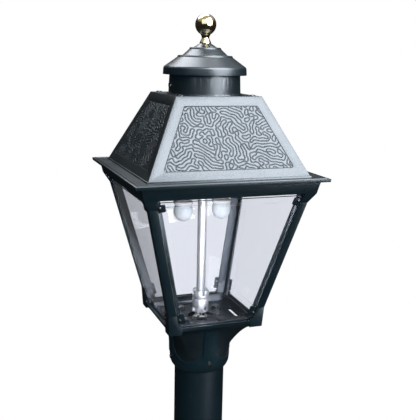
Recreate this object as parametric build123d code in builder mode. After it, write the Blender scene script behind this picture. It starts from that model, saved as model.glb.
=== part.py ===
from build123d import *

import math
import os

# Post top gas lantern: a cast head with four sloping glass sides, a hinged roof with a
# round chimney and stepped cap, a ball finial and a burner with two inverted mantles.
# Millimetres, +Z up. The origin is the centre of the fitter's mouth, the front is -Y.

os.makedirs("parts", exist_ok=True)

# ---------------------------------------------------------------- driving dimensions
POST_D = 76.2            # tube post that the fitter drops over
POST_PLAY = 0.8          # radial play of the post in the fitter
FIT = 0.05               # radial running fit of turning and screwed pieces
FITTER_TOP = 75.0        # underside of the floor
FITTER_BORE_TOP = 49.0   # shoulder that stops on the end of the post
FITTER_R = 45.6          # barrel just above the mouth
COLLAR_R = 46.2          # raised skin that frames the arches
MOUTH_H = 12.0           # height of the rounded mouth
SET_SCREW_Z = 16.6

FLOOR_Z = FITTER_TOP + 3.0       # top of the floor
FLOOR_HALF = 57.0                # flat part of the floor, half width
PAN_Z = FLOOR_Z + 6.0            # seat under the panes
LIP_Z = PAN_Z + 4.8              # top of the outer lip
LIP_HALF = 72.0
LIP_INNER = LIP_HALF - 2.8
RIB_HALF = LIP_HALF - 9.4        # inner rib behind the panes
RIB_THICK = 2.0
RIB_Z = PAN_Z + 5.5
FOOT_TOP = PAN_Z + 24.0          # joint of foot and post
FOOT_STEP = PAN_Z + 8.0          # top of the wider corner block
FOOT_BOTTOM = FLOOR_Z + 0.6      # underside of the corner block
FOOT_INNER = FLOOR_HALF + 3.0    # corner block's inner face, under the pan
CORNER_W = 20.0                  # width of the corner block on each face

POST_RISE = 163.0                # level height of the posts
HEAD_Z = FOOT_TOP + POST_RISE    # joint of post and top frame
FOOT_HALF = LIP_HALF + 1.4       # outer corner line of the posts at the foot
HEAD_HALF = 114.0                # and at the head
LEAN = (HEAD_HALF - FOOT_HALF) / POST_RISE
LEG_W = 12.0             # outer leg of the post section
LEDGE_W = 18.4           # to the inner edge of the glazing ledge
LEDGE_DEPTH = 4.0        # step from the leg down to the ledge
WALL_DEPTH = 6.5         # to the back of the ledge

BAND_Z = HEAD_Z + 14.5           # lower edge of the top band
BAND_KNEE_Z = BAND_Z + 8.5
BAND_TOP = BAND_KNEE_Z + 9.0
BAND_HALF = (HEAD_HALF + 9.0, HEAD_HALF + 10.8, HEAD_HALF + 12.9)   # at the three heights above
BAND_WALL = 4.0
FLANGE_INNER = HEAD_HALF + 2.0
FLANGE_T = 3.0
BRACKET_TOP = BAND_Z + 4.5       # corner bracket inside the band

BRIM_HALF = BAND_HALF[2] + 9.9
BRIM_T = 4.0
BRIM_TOP = BAND_TOP + BRIM_T
ROOF_RISE = 106.8                # from the brim to the flat top
ROOF_TOP = BRIM_TOP + ROOF_RISE
ROOF_BASE_HALF = FLANGE_INNER + 0.2
ROOF_TOP_HALF = 62.6
ROOF_WALL = 3.9          # measured level
ROOF_PLATE = 3.5
PANEL_MARGIN = 15.6      # plain border beside the embossed panel
PANEL_Z = (BRIM_TOP + 13.0, ROOF_TOP - 12.2)
PANEL_DEPTH = 0.6        # floor of the cast relief below the border
PANEL_R = 3.0

HINGE_Y = BRIM_HALF - 4.2
HINGE_Z = BAND_TOP - 5.8
HINGE_R = 4.0
HINGE_PIN_R = 2.0
HINGE_X = 60.0           # joint line between the two knuckles
KNUCKLE_W = 8.0
KNUCKLE_GAP = 0.3
ARM_HALF = 3.5           # half thickness of the arm that carries a knuckle
PIN_HEAD = (3.3, 1.2)    # radius and height of the hinge pin's head

CHIMNEY_R = (51.8, 50.4)
CHIMNEY_TOP = ROOF_TOP + 35.2
CHIMNEY_WALL = 1.6
CHIMNEY_KNEE = 3.0               # straight foot of the collar above the roof
BRIDGE_Z = ROOF_TOP + 19.2
BRIDGE_T = 3.0
ROD_R = 4.0
CAP_TOP = CHIMNEY_TOP + 35.4
CAP_SEAT = CAP_TOP - 3.5         # flat inside the crown of the cap
BALL_R = 15.0
BALL_Z = CAP_TOP + 26.0

GLASS_T = 2.9
GLASS_Z = (PAN_Z + 1.0, HEAD_Z + 11.0)
GLASS_EDGE = 12.8        # pane edge from the outer corner line
CLIP_SCREW_IN = 15.4     # screw from the outer corner line
CLIP_Z = (FOOT_TOP - 6.6, HEAD_Z + 4.0)
CLIP_T = 1.2

RISER_R = 6.8
RISER_WALL = 1.0
MIXER_R = 11.2
MIXER_WALL = 1.2
MIXER_Z = (FITTER_TOP + 11.0, FITTER_TOP + 31.5)
RISER_Z = (MIXER_Z[0] + 13.0, HEAD_Z)
PORT_Z = MIXER_Z[0] + 5.8
PORT_R = 2.8
PORT_TURN = 20.0         # first air port, degrees from the front
SHUTTER_T = 0.95
HOLDER_TOP = MIXER_Z[1] + 13.5
TEE_Z = HEAD_Z + 7.0
TEE_R = 7.0
MANTLE_X = 30.0
MANTLE_TOP = TEE_Z - 20.0
MANTLE_R = 14.0
MANTLE_BOTTOM = MANTLE_TOP - 29.5
MANTLE_WALL = 0.7
BOLT_RING = 40.0
BOLT_TURN = 33.0         # first fitter bolt, degrees from +X
FLOOR_HOLE_R = 20.0
COCK_Z = FITTER_TOP + 7.5
COCK_TURN = 228.0        # the key points front left


# ---------------------------------------------------------------- shared shapes
def corner_line(z):
    """Half width of the outer corner line of the posts at height z."""
    return FOOT_HALF + (z - FOOT_TOP) * LEAN


def roof_half(z):
    """Half width of the roof's outside at height z."""
    share = (z - BRIM_TOP) / ROOF_RISE
    return ROOF_BASE_HALF + share * (ROOF_TOP_HALF - ROOF_BASE_HALF)


def square(z, half):
    """Square section at height z."""
    with BuildSketch(Plane.XY.offset(z)) as section:
        Rectangle(2 * half, 2 * half)
    return section.sketch


def square_loft(sides, mode=Mode.ADD):
    """Stack square sections, given as (z, half width), in the open part."""
    loft(sections=[square(z, half) for z, half in sides], ruled=True, mode=mode)


def post_section(z, outer):
    """Front left corner section: an outer angle with a set-back glazing ledge."""
    line = corner_line(z)
    leg, ledge = line - LEG_W, line - LEDGE_W
    seat, back = line - LEDGE_DEPTH, line - WALL_DEPTH
    with BuildSketch(Plane.XY.offset(z)) as section:
        with BuildLine():
            Polyline((-outer, -outer), (-leg, -outer), (-leg, -seat), (-ledge, -seat),
                     (-ledge, -back), (-back, -back), (-back, -ledge), (-seat, -ledge),
                     (-seat, -leg), (-outer, -leg), close=True)
        make_face()
    return section.sketch


def post_loft(sides):
    """Stack corner sections, given as (z, outer half width), in the open part."""
    loft(sections=[post_section(z, outer) for z, outer in sides], ruled=True)


def corner_block(z, outer, inner):
    """Front left corner section of a plain angle as wide as the corner block."""
    arm = LIP_HALF - CORNER_W
    with BuildSketch(Plane.XY.offset(z)) as section:
        with BuildLine():
            Polyline((-outer, -outer), (-arm, -outer), (-arm, -inner), (-inner, -inner),
                     (-inner, -arm), (-outer, -arm), close=True)
        make_face()
    return section.sketch


def side_plane(turn, half, z, rise):
    """Plane on one sloping side: turn is 0 for the front, rise is the normal's lift."""
    c, s = math.cos(math.radians(turn)), math.sin(math.radians(turn))
    return Plane(origin=(half * s, -half * c, z), x_dir=(c, s, 0), z_dir=(s, -c, rise))


def tilted_plane(turn, half, z, facing):
    """Plane across the post axis at one corner; facing is +1 up or -1 down."""
    c, s = math.cos(math.radians(turn)), math.sin(math.radians(turn))
    x, y = -half * c + half * s, -half * s - half * c
    lean_x, lean_y = LEAN * (-c + s), LEAN * (-s - c)
    return Plane(origin=(x, y, z), x_dir=(c, s, 0), z_dir=(facing * lean_x, facing * lean_y, facing))


def finish(piece, label):
    """Label a finished piece and write it."""
    piece.part.label = label
    export_step(piece.part, f"parts/{label}.step")


def polar_revolve(outline):
    """Turn a closed (radius, height) outline about the lantern's axis, in the open part."""
    with BuildSketch(Plane.XZ) as half:
        with BuildLine():
            Polyline(*outline, close=True)
        make_face()
    revolve(profiles=half.sketch, axis=Axis.Z)


def disc(z, r, height, mode=Mode.ADD):
    """Add or cut a cylinder on the lantern's axis."""
    with BuildSketch(Plane.XY.offset(z)) as face:
        Circle(r)
    extrude(face.sketch, amount=height, mode=mode)


TURNS = (0, 90, 180, 270)
SIDE_NAMES = ("front", "right", "back", "left")
CORNER_NAMES = ("front_left", "front_right", "back_right", "back_left")

# ---------------------------------------------------------------- post fitter
FLARE = (                # height, half width at mid face, reach along the diagonal
    (FITTER_TOP - 52, 44.7, 44.7), (FITTER_TOP - 38, 45.0, 48.6), (FITTER_TOP - 30, 45.6, 52.4),
    (FITTER_TOP - 22, 46.5, 58.0), (FITTER_TOP - 12, 48.0, 66.5), (FITTER_TOP - 4, 49.8, 75.5),
    (FITTER_TOP, 51.0, 81.5))
RIB_W = 20.0
RIB_PROUD = 1.6
ARCH_HALF_W = 25.0
ARCH_FOOT = 18.0
ARCH_SPRING = 36.0
ARCH_TOP = FITTER_TOP - 8.0      # hidden in the flare
SHOULDER_R = 34.0
BORE_R = POST_D / 2 + POST_PLAY
SET_R = 3.0
SET_END_R = COLLAR_R + 1.6       # outer ends of the set screws
SET_KEY_R = 1.6
SET_KEY_DEPTH = 3.0
BOLT_R = 4.0
BOLT_BOSS = (9.0, 1.5)           # radius and height of the boss under a bolt head
BOLT_HEAD = (6.5, 4.5)           # half across flats and height
POST_SCREW_R = 2.0
POST_SCREW_IN = 4.3      # screw axis from the outer corner line
POST_SCREW_BITE = 12.0   # length in the post
POST_HEAD_R = 3.6
POST_HEAD_H = 2.4
FOOT_GRIP = 24.0         # from the joint to the head, at the foot
HEAD_GRIP = 15.0         # and at the top frame
CLIP_SCREW_R = 1.5
BRACKET_SCREW_AT = 26.0
BRACKET_SCREW_R = 2.5
BRACKET_HEAD = (4.4, 2.4)
BOLT_DEPTH = 12.0


def flare_section(z, mid, reach):
    """Four arcs that meet on the diagonals, round below and star shaped above."""
    d = reach / math.sqrt(2)
    with BuildSketch(Plane.XY.offset(z)) as section:
        with BuildLine():
            ThreePointArc((-d, -d), (0, -mid), (d, -d))
            ThreePointArc((d, -d), (mid, 0), (d, d))
            ThreePointArc((d, d), (0, mid), (-d, d))
            ThreePointArc((-d, d), (-mid, 0), (-d, -d))
        make_face()
    return section.sketch


with BuildPart() as post_fitter:
    with BuildSketch(Plane.XZ):
        with BuildLine():
            mouth = ThreePointArc((BORE_R + 0.8, 0), (FITTER_R - 2, 0.43 * MOUTH_H), (FITTER_R, MOUTH_H))
            Polyline(mouth @ 1, (COLLAR_R, ARCH_FOOT), (COLLAR_R, ARCH_TOP), (0, ARCH_TOP), (0, 0),
                     mouth @ 0)
        make_face()
    revolve(axis=Axis.Z)
    for turn in TURNS:                       # arched windows between the ribs
        c, s = math.cos(math.radians(turn + 45)), math.sin(math.radians(turn + 45))
        window = Plane(origin=(60 * c, 60 * s, 0), x_dir=(-s, c, 0), z_dir=(c, s, 0))
        with BuildSketch(window):
            with BuildLine():
                ThreePointArc((-ARCH_HALF_W, ARCH_SPRING), (0, ARCH_FOOT), (ARCH_HALF_W, ARCH_SPRING))
                Polyline((ARCH_HALF_W, ARCH_SPRING), (ARCH_HALF_W, ARCH_TOP + 1),
                         (-ARCH_HALF_W, ARCH_TOP + 1), (-ARCH_HALF_W, ARCH_SPRING))
            make_face()
        extrude(amount=-40, mode=Mode.SUBTRACT)
    with BuildSketch(Plane.XY.offset(MOUTH_H)):
        Circle(FLARE[0][1])
    extrude(amount=ARCH_TOP - MOUTH_H)
    loft(sections=[flare_section(*row) for row in FLARE])
    rib_line = [(mid + RIB_PROUD, z) for z, mid, _ in FLARE]
    for turn in (0, 90):                     # ribs that carry the set screws up to the sill
        with BuildSketch(Plane.XZ.rotated((0, 0, turn))):
            with BuildLine():
                Polyline((0, rib_line[0][1]), *rib_line, (0, FITTER_TOP), close=True)
            make_face()
            mirror(about=Plane.YZ)
        extrude(amount=RIB_W / 2, both=True)
    with BuildSketch(Plane.XY):
        Circle(BORE_R)
    extrude(amount=FITTER_BORE_TOP, mode=Mode.SUBTRACT)
    with BuildSketch(Plane.XY.offset(FITTER_BORE_TOP)):
        Circle(SHOULDER_R)
    extrude(amount=FITTER_TOP, mode=Mode.SUBTRACT)
    for turn in TURNS:                       # set screw holes
        with BuildSketch(side_plane(turn, 60, SET_SCREW_Z, 0)):
            Circle(SET_R + FIT)
        extrude(amount=-30, mode=Mode.SUBTRACT)
    with BuildSketch(Plane.XY.offset(FITTER_TOP)):
        with PolarLocations(BOLT_RING, 4, start_angle=BOLT_TURN):
            Circle(BOLT_R + FIT)
    extrude(amount=-BOLT_DEPTH, mode=Mode.SUBTRACT)
finish(post_fitter, "post_fitter")

with BuildPart() as set_screws:
    for turn in TURNS:
        end = side_plane(turn, SET_END_R, SET_SCREW_Z, 0)
        with BuildSketch(end):
            Circle(SET_R)
        extrude(amount=BORE_R + 0.4 - SET_END_R)
        with BuildSketch(end):
            RegularPolygon(SET_KEY_R, 6)
        extrude(amount=-SET_KEY_DEPTH, mode=Mode.SUBTRACT)
finish(set_screws, "set_screws")

with BuildPart() as fitter_bolts:
    with BuildSketch(Plane.XY.offset(FITTER_TOP - BOLT_DEPTH + 1)):
        with PolarLocations(BOLT_RING, 4, start_angle=BOLT_TURN):
            Circle(BOLT_R)
    extrude(amount=FLOOR_Z + BOLT_BOSS[1] - FITTER_TOP + BOLT_DEPTH - 1)
    with BuildSketch(Plane.XY.offset(FLOOR_Z + BOLT_BOSS[1])):
        with PolarLocations(BOLT_RING, 4, start_angle=BOLT_TURN):
            RegularPolygon(BOLT_HEAD[0], 6, major_radius=False)
    extrude(amount=BOLT_HEAD[1])
finish(fitter_bolts, "fitter_bolts")

# ---------------------------------------------------------------- base tray
SLOT_L, SLOT_W, SLOT_AT = 38.0, 6.5, 54.0

def post_screw_hole(z, half, facing, turn, grip):
    """Cut one inclined screw hole with its sunk head seat: facing is the head's side."""
    joint = tilted_plane(turn, half - POST_SCREW_IN, z, facing)
    with BuildSketch(joint.offset(-2)) as hole:
        Circle(POST_SCREW_R + FIT)
    extrude(hole.sketch, amount=grip + 3, mode=Mode.SUBTRACT)
    with BuildSketch(joint.offset(grip)) as sink:
        Circle(POST_HEAD_R + 0.3)
    extrude(sink.sketch, amount=2 * grip, mode=Mode.SUBTRACT)


def post_screw(z, half, facing, turn, grip):
    """Add one pan head screw on the same axis as its hole."""
    joint = tilted_plane(turn, half - POST_SCREW_IN, z, facing)
    with BuildSketch(joint.offset(-POST_SCREW_BITE)) as shank:
        Circle(POST_SCREW_R)
    extrude(shank.sketch, amount=POST_SCREW_BITE + grip)
    with BuildSketch(joint.offset(grip)) as head:
        Circle(POST_HEAD_R)
    extrude(head.sketch, amount=POST_HEAD_H)


def pane_plane(turn, z):
    """Plane of the glazing ledges on one side, its origin on the side's centre line."""
    return side_plane(turn, corner_line(z) - LEDGE_DEPTH, z, -LEAN)


def clip_screw_holes(z, turn):
    """Cut the two clip screw holes of one side through the ledges at height z."""
    with BuildSketch(pane_plane(turn, z)) as holes:
        with Locations((CLIP_SCREW_IN - corner_line(z), 0), (corner_line(z) - CLIP_SCREW_IN, 0)):
            Circle(CLIP_SCREW_R + FIT)
    extrude(holes.sketch, amount=-10, mode=Mode.SUBTRACT)


with BuildPart() as foot:                                # one corner of the tray
    pan_half, step_half = LIP_HALF - 0.2, LIP_HALF + 0.3
    loft(sections=[corner_block(FOOT_BOTTOM, LIP_HALF - 0.6, FOOT_INNER),
                   corner_block(PAN_Z, pan_half, FOOT_INNER)], ruled=True)
    loft(sections=[corner_block(PAN_Z, pan_half, LIP_INNER), corner_block(FOOT_STEP, step_half, LIP_INNER)],
         ruled=True)
    post_loft([(PAN_Z, pan_half), (FOOT_STEP, step_half), (FOOT_TOP, FOOT_HALF)])

with BuildPart() as base_tray:
    square_loft([(FITTER_TOP, FOOT_INNER), (PAN_Z, LIP_HALF - 0.8), (LIP_Z, LIP_HALF)])
    square_loft([(PAN_Z, LIP_INNER), (LIP_Z + 1, LIP_INNER)], Mode.SUBTRACT)
    square_loft([(PAN_Z - 1, RIB_HALF), (RIB_Z, RIB_HALF)])
    square_loft([(FLOOR_Z, FLOOR_HALF), (PAN_Z, RIB_HALF - RIB_THICK), (RIB_Z + 1, RIB_HALF - RIB_THICK)],
                Mode.SUBTRACT)
    with BuildSketch(Plane.XY.offset(FLOOR_Z)):          # bosses under the bolt heads
        with PolarLocations(BOLT_RING, 4, start_angle=BOLT_TURN):
            Circle(BOLT_BOSS[0])
    extrude(amount=BOLT_BOSS[1])
    with BuildSketch(Plane.XY.offset(FITTER_TOP)):
        Circle(FLOOR_HOLE_R)
        with PolarLocations(BOLT_RING, 4, start_angle=BOLT_TURN):
            Circle(BOLT_R + FIT)
        with PolarLocations(SLOT_AT, 4, start_angle=0):
            SlotOverall(SLOT_L, SLOT_W, rotation=90)
        with Locations((-BRACKET_SCREW_AT, 0), (BRACKET_SCREW_AT, 0)):
            Circle(BRACKET_SCREW_R + FIT)
    extrude(amount=PAN_Z - FITTER_TOP, mode=Mode.SUBTRACT)
    for turn in TURNS:
        add(foot.part.rotate(Axis.Z, turn))
    for turn in TURNS:                                   # holes for the post foot screws
        post_screw_hole(FOOT_TOP, FOOT_HALF, -1, turn, FOOT_GRIP)
        clip_screw_holes(CLIP_Z[0], turn)
finish(base_tray, "base_tray")

# ---------------------------------------------------------------- corner posts and their screws
with BuildPart() as corner_post:
    post_loft([(FOOT_TOP, FOOT_HALF), (HEAD_Z, HEAD_HALF)])
    for z, half, facing in ((FOOT_TOP, FOOT_HALF, 1), (HEAD_Z, HEAD_HALF, -1)):
        with BuildSketch(tilted_plane(0, half - POST_SCREW_IN, z, facing).offset(-2)):
            Circle(POST_SCREW_R + FIT)
        extrude(amount=POST_SCREW_BITE + 2.5, mode=Mode.SUBTRACT)

for turn, name in zip(TURNS, CORNER_NAMES):
    with BuildPart() as turned_post:
        add(corner_post.part.rotate(Axis.Z, turn))
    finish(turned_post, f"post_{name}")

with BuildPart() as post_foot_screws:
    for turn in TURNS:
        post_screw(FOOT_TOP, FOOT_HALF, -1, turn, FOOT_GRIP)
finish(post_foot_screws, "post_foot_screws")

with BuildPart() as post_head_screws:
    for turn in TURNS:
        post_screw(HEAD_Z, HEAD_HALF, 1, turn, HEAD_GRIP)
finish(post_head_screws, "post_head_screws")

# ---------------------------------------------------------------- top frame
def knuckles(x, web, bore):
    """Add a knuckle and its web on both sides of the centre line, bored for the pin."""
    for start in (x, -x - KNUCKLE_W):
        with BuildSketch(Plane.YZ.offset(start)) as leaf:
            with BuildLine():
                Polyline(*web, close=True)
            make_face()
            with Locations((HINGE_Y, HINGE_Z)):
                Circle(HINGE_R)
        extrude(leaf.sketch, amount=KNUCKLE_W)
        with BuildSketch(Plane.YZ.offset(start)) as hole:
            with Locations((HINGE_Y, HINGE_Z)):
                Circle(bore)
        extrude(hole.sketch, amount=KNUCKLE_W, mode=Mode.SUBTRACT)


with BuildPart() as bracket:                             # one corner bracket
    post_loft([(HEAD_Z, HEAD_HALF), (BAND_Z, BAND_HALF[0]), (BRACKET_TOP, BAND_HALF[0] + 0.9)])

with BuildPart() as top_frame:
    outside = list(zip((BAND_Z, BAND_KNEE_Z, BAND_TOP), BAND_HALF))
    square_loft(outside)
    square_loft([(z, half - BAND_WALL) for z, half in outside], Mode.SUBTRACT)
    with BuildSketch(Plane.XY.offset(BAND_TOP)):
        Rectangle(2 * BAND_HALF[2] - BAND_WALL, 2 * BAND_HALF[2] - BAND_WALL)
        Rectangle(2 * FLANGE_INNER, 2 * FLANGE_INNER, mode=Mode.SUBTRACT)
    extrude(amount=-FLANGE_T)
    for turn in TURNS:
        add(bracket.part.rotate(Axis.Z, turn))
    for turn in TURNS:
        post_screw_hole(HEAD_Z, HEAD_HALF, 1, turn, HEAD_GRIP)
        clip_screw_holes(CLIP_Z[1], turn)
    arm_y, low, high = BAND_HALF[1] - 1.0, HINGE_Z - ARM_HALF, HINGE_Z + ARM_HALF
    knuckles(HINGE_X - KNUCKLE_W, [(arm_y, low), (HINGE_Y, low), (HINGE_Y, high), (arm_y, high)],
             HINGE_PIN_R + FIT)
finish(top_frame, "top_frame")

with BuildPart() as hinge_pins:
    for side in (1, -1):
        tail_x, head_x = HINGE_X - KNUCKLE_W - 0.8, HINGE_X + KNUCKLE_W + KNUCKLE_GAP + 0.3
        with BuildSketch(Plane.YZ.offset(side * tail_x)):
            with Locations((HINGE_Y, HINGE_Z)):
                Circle(HINGE_PIN_R)
        extrude(amount=side * (head_x - tail_x))
        with BuildSketch(Plane.YZ.offset(side * head_x)):
            with Locations((HINGE_Y, HINGE_Z)):
                Circle(PIN_HEAD[0])
        extrude(amount=side * PIN_HEAD[1])
finish(hinge_pins, "hinge_pins")

# ---------------------------------------------------------------- glazing
BOTTOM_Z, TOP_Z = GLASS_Z
LEAN_ANGLE = math.degrees(math.atan(LEAN / math.hypot(1, LEAN)))
RUN = math.hypot(1, LEAN)                 # slope length for each millimetre of height
CLIP_H = (18.0, 11.0)                     # height of the bottom and top clips
CLIP_UP = (2.6, -0.5)                     # middle of the clip above its screw
CLIP_W = 10.0
CLIP_IN = 13.3                            # outer edge of a clip from the corner line
CLIP_BOSS_R = 2.1
CLIP_BITE = 2.2                           # screw length in the ledge
CLIP_HEAD = (2.6, 1.6)                    # radius and height of the screw head
NOTCH_R = 2.5

for turn, name in zip(TURNS, SIDE_NAMES):
    with BuildPart() as pane:
        low, high = corner_line(BOTTOM_Z) - GLASS_EDGE, corner_line(TOP_Z) - GLASS_EDGE
        with BuildSketch(pane_plane(turn, BOTTOM_Z)):
            with BuildLine():
                Polyline((-low, 0), (low, 0), (high, (TOP_Z - BOTTOM_Z) * RUN),
                         (-high, (TOP_Z - BOTTOM_Z) * RUN), close=True)
            make_face()
            for z in CLIP_Z:                             # notches that clear the clip screws
                at = corner_line(z) - CLIP_SCREW_IN
                for side in (-1, 1):
                    with Locations((side * at, (z - BOTTOM_Z) * RUN)):
                        Circle(NOTCH_R, mode=Mode.SUBTRACT)
                    with Locations((side * (at + 1.6 * NOTCH_R), (z - BOTTOM_Z) * RUN)):
                        Rectangle(3.2 * NOTCH_R, 2 * NOTCH_R, mode=Mode.SUBTRACT)
        extrude(amount=GLASS_T)
    finish(pane, f"glass_{name}")

    with BuildPart() as clips:
        for z, tall, up in zip(CLIP_Z, CLIP_H, CLIP_UP):
            base, line = pane_plane(turn, z), corner_line(z)
            for side in (-1, 1):
                with BuildSketch(base.offset(GLASS_T)):
                    with Locations((side * (line - CLIP_IN - CLIP_W / 2 + up * LEAN), up)):
                        RectangleRounded(CLIP_W, tall, 1.6, rotation=-side * LEAN_ANGLE)
                extrude(amount=CLIP_T)
                with BuildSketch(base):
                    with Locations((side * (line - CLIP_SCREW_IN), 0)):
                        Circle(CLIP_BOSS_R)
                extrude(amount=GLASS_T)
                with BuildSketch(base):
                    with Locations((side * (line - CLIP_SCREW_IN), 0)):
                        Circle(CLIP_SCREW_R + FIT)
                extrude(amount=GLASS_T + CLIP_T, mode=Mode.SUBTRACT)
    finish(clips, f"clips_{name}")

with BuildPart() as clip_screws:
    for turn in TURNS:
        for z in CLIP_Z:
            base, at = pane_plane(turn, z), corner_line(z) - CLIP_SCREW_IN
            with BuildSketch(base.offset(-CLIP_BITE)):
                with Locations((-at, 0), (at, 0)):
                    Circle(CLIP_SCREW_R)
            extrude(amount=CLIP_BITE + GLASS_T + CLIP_T)
            with BuildSketch(base.offset(GLASS_T + CLIP_T)):
                with Locations((-at, 0), (at, 0)):
                    Circle(CLIP_HEAD[0])
            extrude(amount=CLIP_HEAD[1])
finish(clip_screws, "clip_screws")

# ---------------------------------------------------------------- roof
CHIMNEY_HOLE_R = CHIMNEY_R[0] + 0.1
RIM_HALF = (FLANGE_INNER - 3.7, FLANGE_INNER - 1.4)   # locating rim, inner and outer
RIM_Z = BAND_TOP - 4.5
DRIP_HALF = (BRIM_HALF - 5.6, BRIM_HALF - 3.8)        # drip ridge on the brim, inner and outer
CHIMNEY_SCREW_AT = ROOF_TOP_HALF - 10.1
CHIMNEY_SCREW_R = 2.0
CHIMNEY_HEAD = (4.0, 2.2)                 # radius and height of the screw head
CHIMNEY_FLANGE = (ROOF_TOP_HALF - 5.1, 2.0)           # half width, thickness

with BuildPart() as roof_casting:
    square_loft([(BAND_TOP, BRIM_HALF - 0.5), (BRIM_TOP, BRIM_HALF)])
    square_loft([(BRIM_TOP - 1, DRIP_HALF[1]), (BRIM_TOP + 0.8, DRIP_HALF[1] - 0.4)])
    square_loft([(BRIM_TOP, DRIP_HALF[0]), (BRIM_TOP + 1, DRIP_HALF[0] + 0.4)], Mode.SUBTRACT)
    square_loft([(BRIM_TOP, ROOF_BASE_HALF + 0.6), (BRIM_TOP + 2.2, ROOF_BASE_HALF + 0.4)])
    square_loft([(BRIM_TOP, ROOF_BASE_HALF), (ROOF_TOP, ROOF_TOP_HALF)])
    square_loft([(RIM_Z, RIM_HALF[1]), (BAND_TOP, RIM_HALF[1])])
    plate_z = ROOF_TOP - ROOF_PLATE
    square_loft([(RIM_Z, RIM_HALF[0]), (BRIM_TOP, ROOF_BASE_HALF - ROOF_WALL),
                 (plate_z, roof_half(plate_z) - ROOF_WALL)], Mode.SUBTRACT)
    disc(ROOF_TOP, CHIMNEY_HOLE_R + 1.8, 1.6)
    disc(plate_z - 1, CHIMNEY_HOLE_R, 8, Mode.SUBTRACT)
    pitch = (ROOF_BASE_HALF - ROOF_TOP_HALF) / ROOF_RISE
    for turn in TURNS:                                   # embossed panel fields
        low_z, high_z = PANEL_Z
        rise = math.hypot(1, pitch)
        with BuildSketch(side_plane(turn, roof_half(low_z), low_z, pitch)) as field:
            with BuildLine():
                Polyline((PANEL_MARGIN - roof_half(low_z), 0), (roof_half(low_z) - PANEL_MARGIN, 0),
                         (roof_half(high_z) - PANEL_MARGIN, (high_z - low_z) * rise),
                         (PANEL_MARGIN - roof_half(high_z), (high_z - low_z) * rise), close=True)
            make_face()
            fillet(field.vertices(), PANEL_R)
        extrude(amount=-PANEL_DEPTH, mode=Mode.SUBTRACT)
    with BuildSketch(Plane.XY.offset(ROOF_TOP)):
        with GridLocations(2 * CHIMNEY_SCREW_AT, 2 * CHIMNEY_SCREW_AT, 2, 2):
            Circle(CHIMNEY_SCREW_R + FIT)
    extrude(amount=-10, mode=Mode.SUBTRACT)
    knuckles(HINGE_X + KNUCKLE_GAP,
             [(HINGE_Y - 3, HINGE_Z), (HINGE_Y + 3, HINGE_Z), (HINGE_Y + 3, BAND_TOP + 0.5),
              (HINGE_Y - 3, BAND_TOP + 0.5)], HINGE_PIN_R + FIT)
finish(roof_casting, "roof_casting")

# ---------------------------------------------------------------- chimney, cap and finial
FLANGE_Z = ROOF_TOP - ROOF_PLATE          # top of the chimney's flange
BRIDGE_HALF = CHIMNEY_R[1] - 1.9
BRIDGE_W = 18.0
BRIDGE_LEG = 14.0                         # depth of the bridge's turned down ends
BRIDGE_SCREW_Z = BRIDGE_Z - 7.0
BRIDGE_SCREW_R = 2.5
BRIDGE_HEAD = (4.2, 2.4)                  # radius and height of the screw head
NUT_ACROSS = 13.0
NUT_H = 6.0
ROD_FOOT = BRIDGE_Z - 9.0
ROD_TOP = CAP_TOP + 12.6                  # in the finial
CAP_OUTSIDE = (                           # radius, drop below the crown
    (60.0, 43.4), (59.4, 34.2), (58.3, 32.2), (39.6, 19.0), (38.7, 16.6), (32.3, 16.3), (22.9, 8.0),
    (22.1, 5.6), (16.7, 5.3), (8.4, 0.0), (ROD_R + FIT, 0.0))
CAP_INSIDE = (
    (ROD_R + FIT, 3.5), (10.5, 3.5), (16.2, 6.8), (20.6, 7.1), (21.4, 8.7), (31.8, 17.9), (37.2, 18.1),
    (38.1, 20.7), (57.0, 33.8), (57.9, 35.0), (58.5, 43.4))
NECK_R = 7.2                              # where the finial's neck meets the ball

with BuildPart() as chimney_collar:
    low_r, high_r = CHIMNEY_R
    foot_z = FLANGE_Z - CHIMNEY_FLANGE[1]
    square_loft([(foot_z, CHIMNEY_FLANGE[0]), (FLANGE_Z, CHIMNEY_FLANGE[0])])
    knee_z = ROOF_TOP + CHIMNEY_KNEE
    polar_revolve([(0, foot_z), (low_r, foot_z), (low_r, knee_z), (high_r, CHIMNEY_TOP),
                   (0, CHIMNEY_TOP)])
    with BuildSketch(Plane.XZ):
        with BuildLine():
            Polyline((0, foot_z), (low_r - CHIMNEY_WALL, foot_z), (low_r - CHIMNEY_WALL, knee_z),
                     (high_r - CHIMNEY_WALL, CHIMNEY_TOP), (0, CHIMNEY_TOP), close=True)
        make_face()
    revolve(axis=Axis.Z, mode=Mode.SUBTRACT)
    with BuildSketch(Plane.XY.offset(FLANGE_Z)):
        with GridLocations(2 * CHIMNEY_SCREW_AT, 2 * CHIMNEY_SCREW_AT, 2, 2):
            Circle(CHIMNEY_SCREW_R + FIT)
    extrude(amount=-2 * CHIMNEY_FLANGE[1], mode=Mode.SUBTRACT)
    with BuildSketch(Plane.YZ):
        with Locations((0, BRIDGE_SCREW_Z)):
            Circle(BRIDGE_SCREW_R + FIT)
    extrude(amount=60, both=True, mode=Mode.SUBTRACT)
finish(chimney_collar, "chimney_collar")

with BuildPart() as chimney_screws:
    with BuildSketch(Plane.XY.offset(ROOF_TOP)):
        with GridLocations(2 * CHIMNEY_SCREW_AT, 2 * CHIMNEY_SCREW_AT, 2, 2):
            Circle(CHIMNEY_HEAD[0])
    extrude(amount=CHIMNEY_HEAD[1])
    with BuildSketch(Plane.XY.offset(ROOF_TOP)):
        with GridLocations(2 * CHIMNEY_SCREW_AT, 2 * CHIMNEY_SCREW_AT, 2, 2):
            Circle(CHIMNEY_SCREW_R)
    extrude(amount=0.1 - ROOF_PLATE - CHIMNEY_FLANGE[1])
finish(chimney_screws, "chimney_screws")

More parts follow.
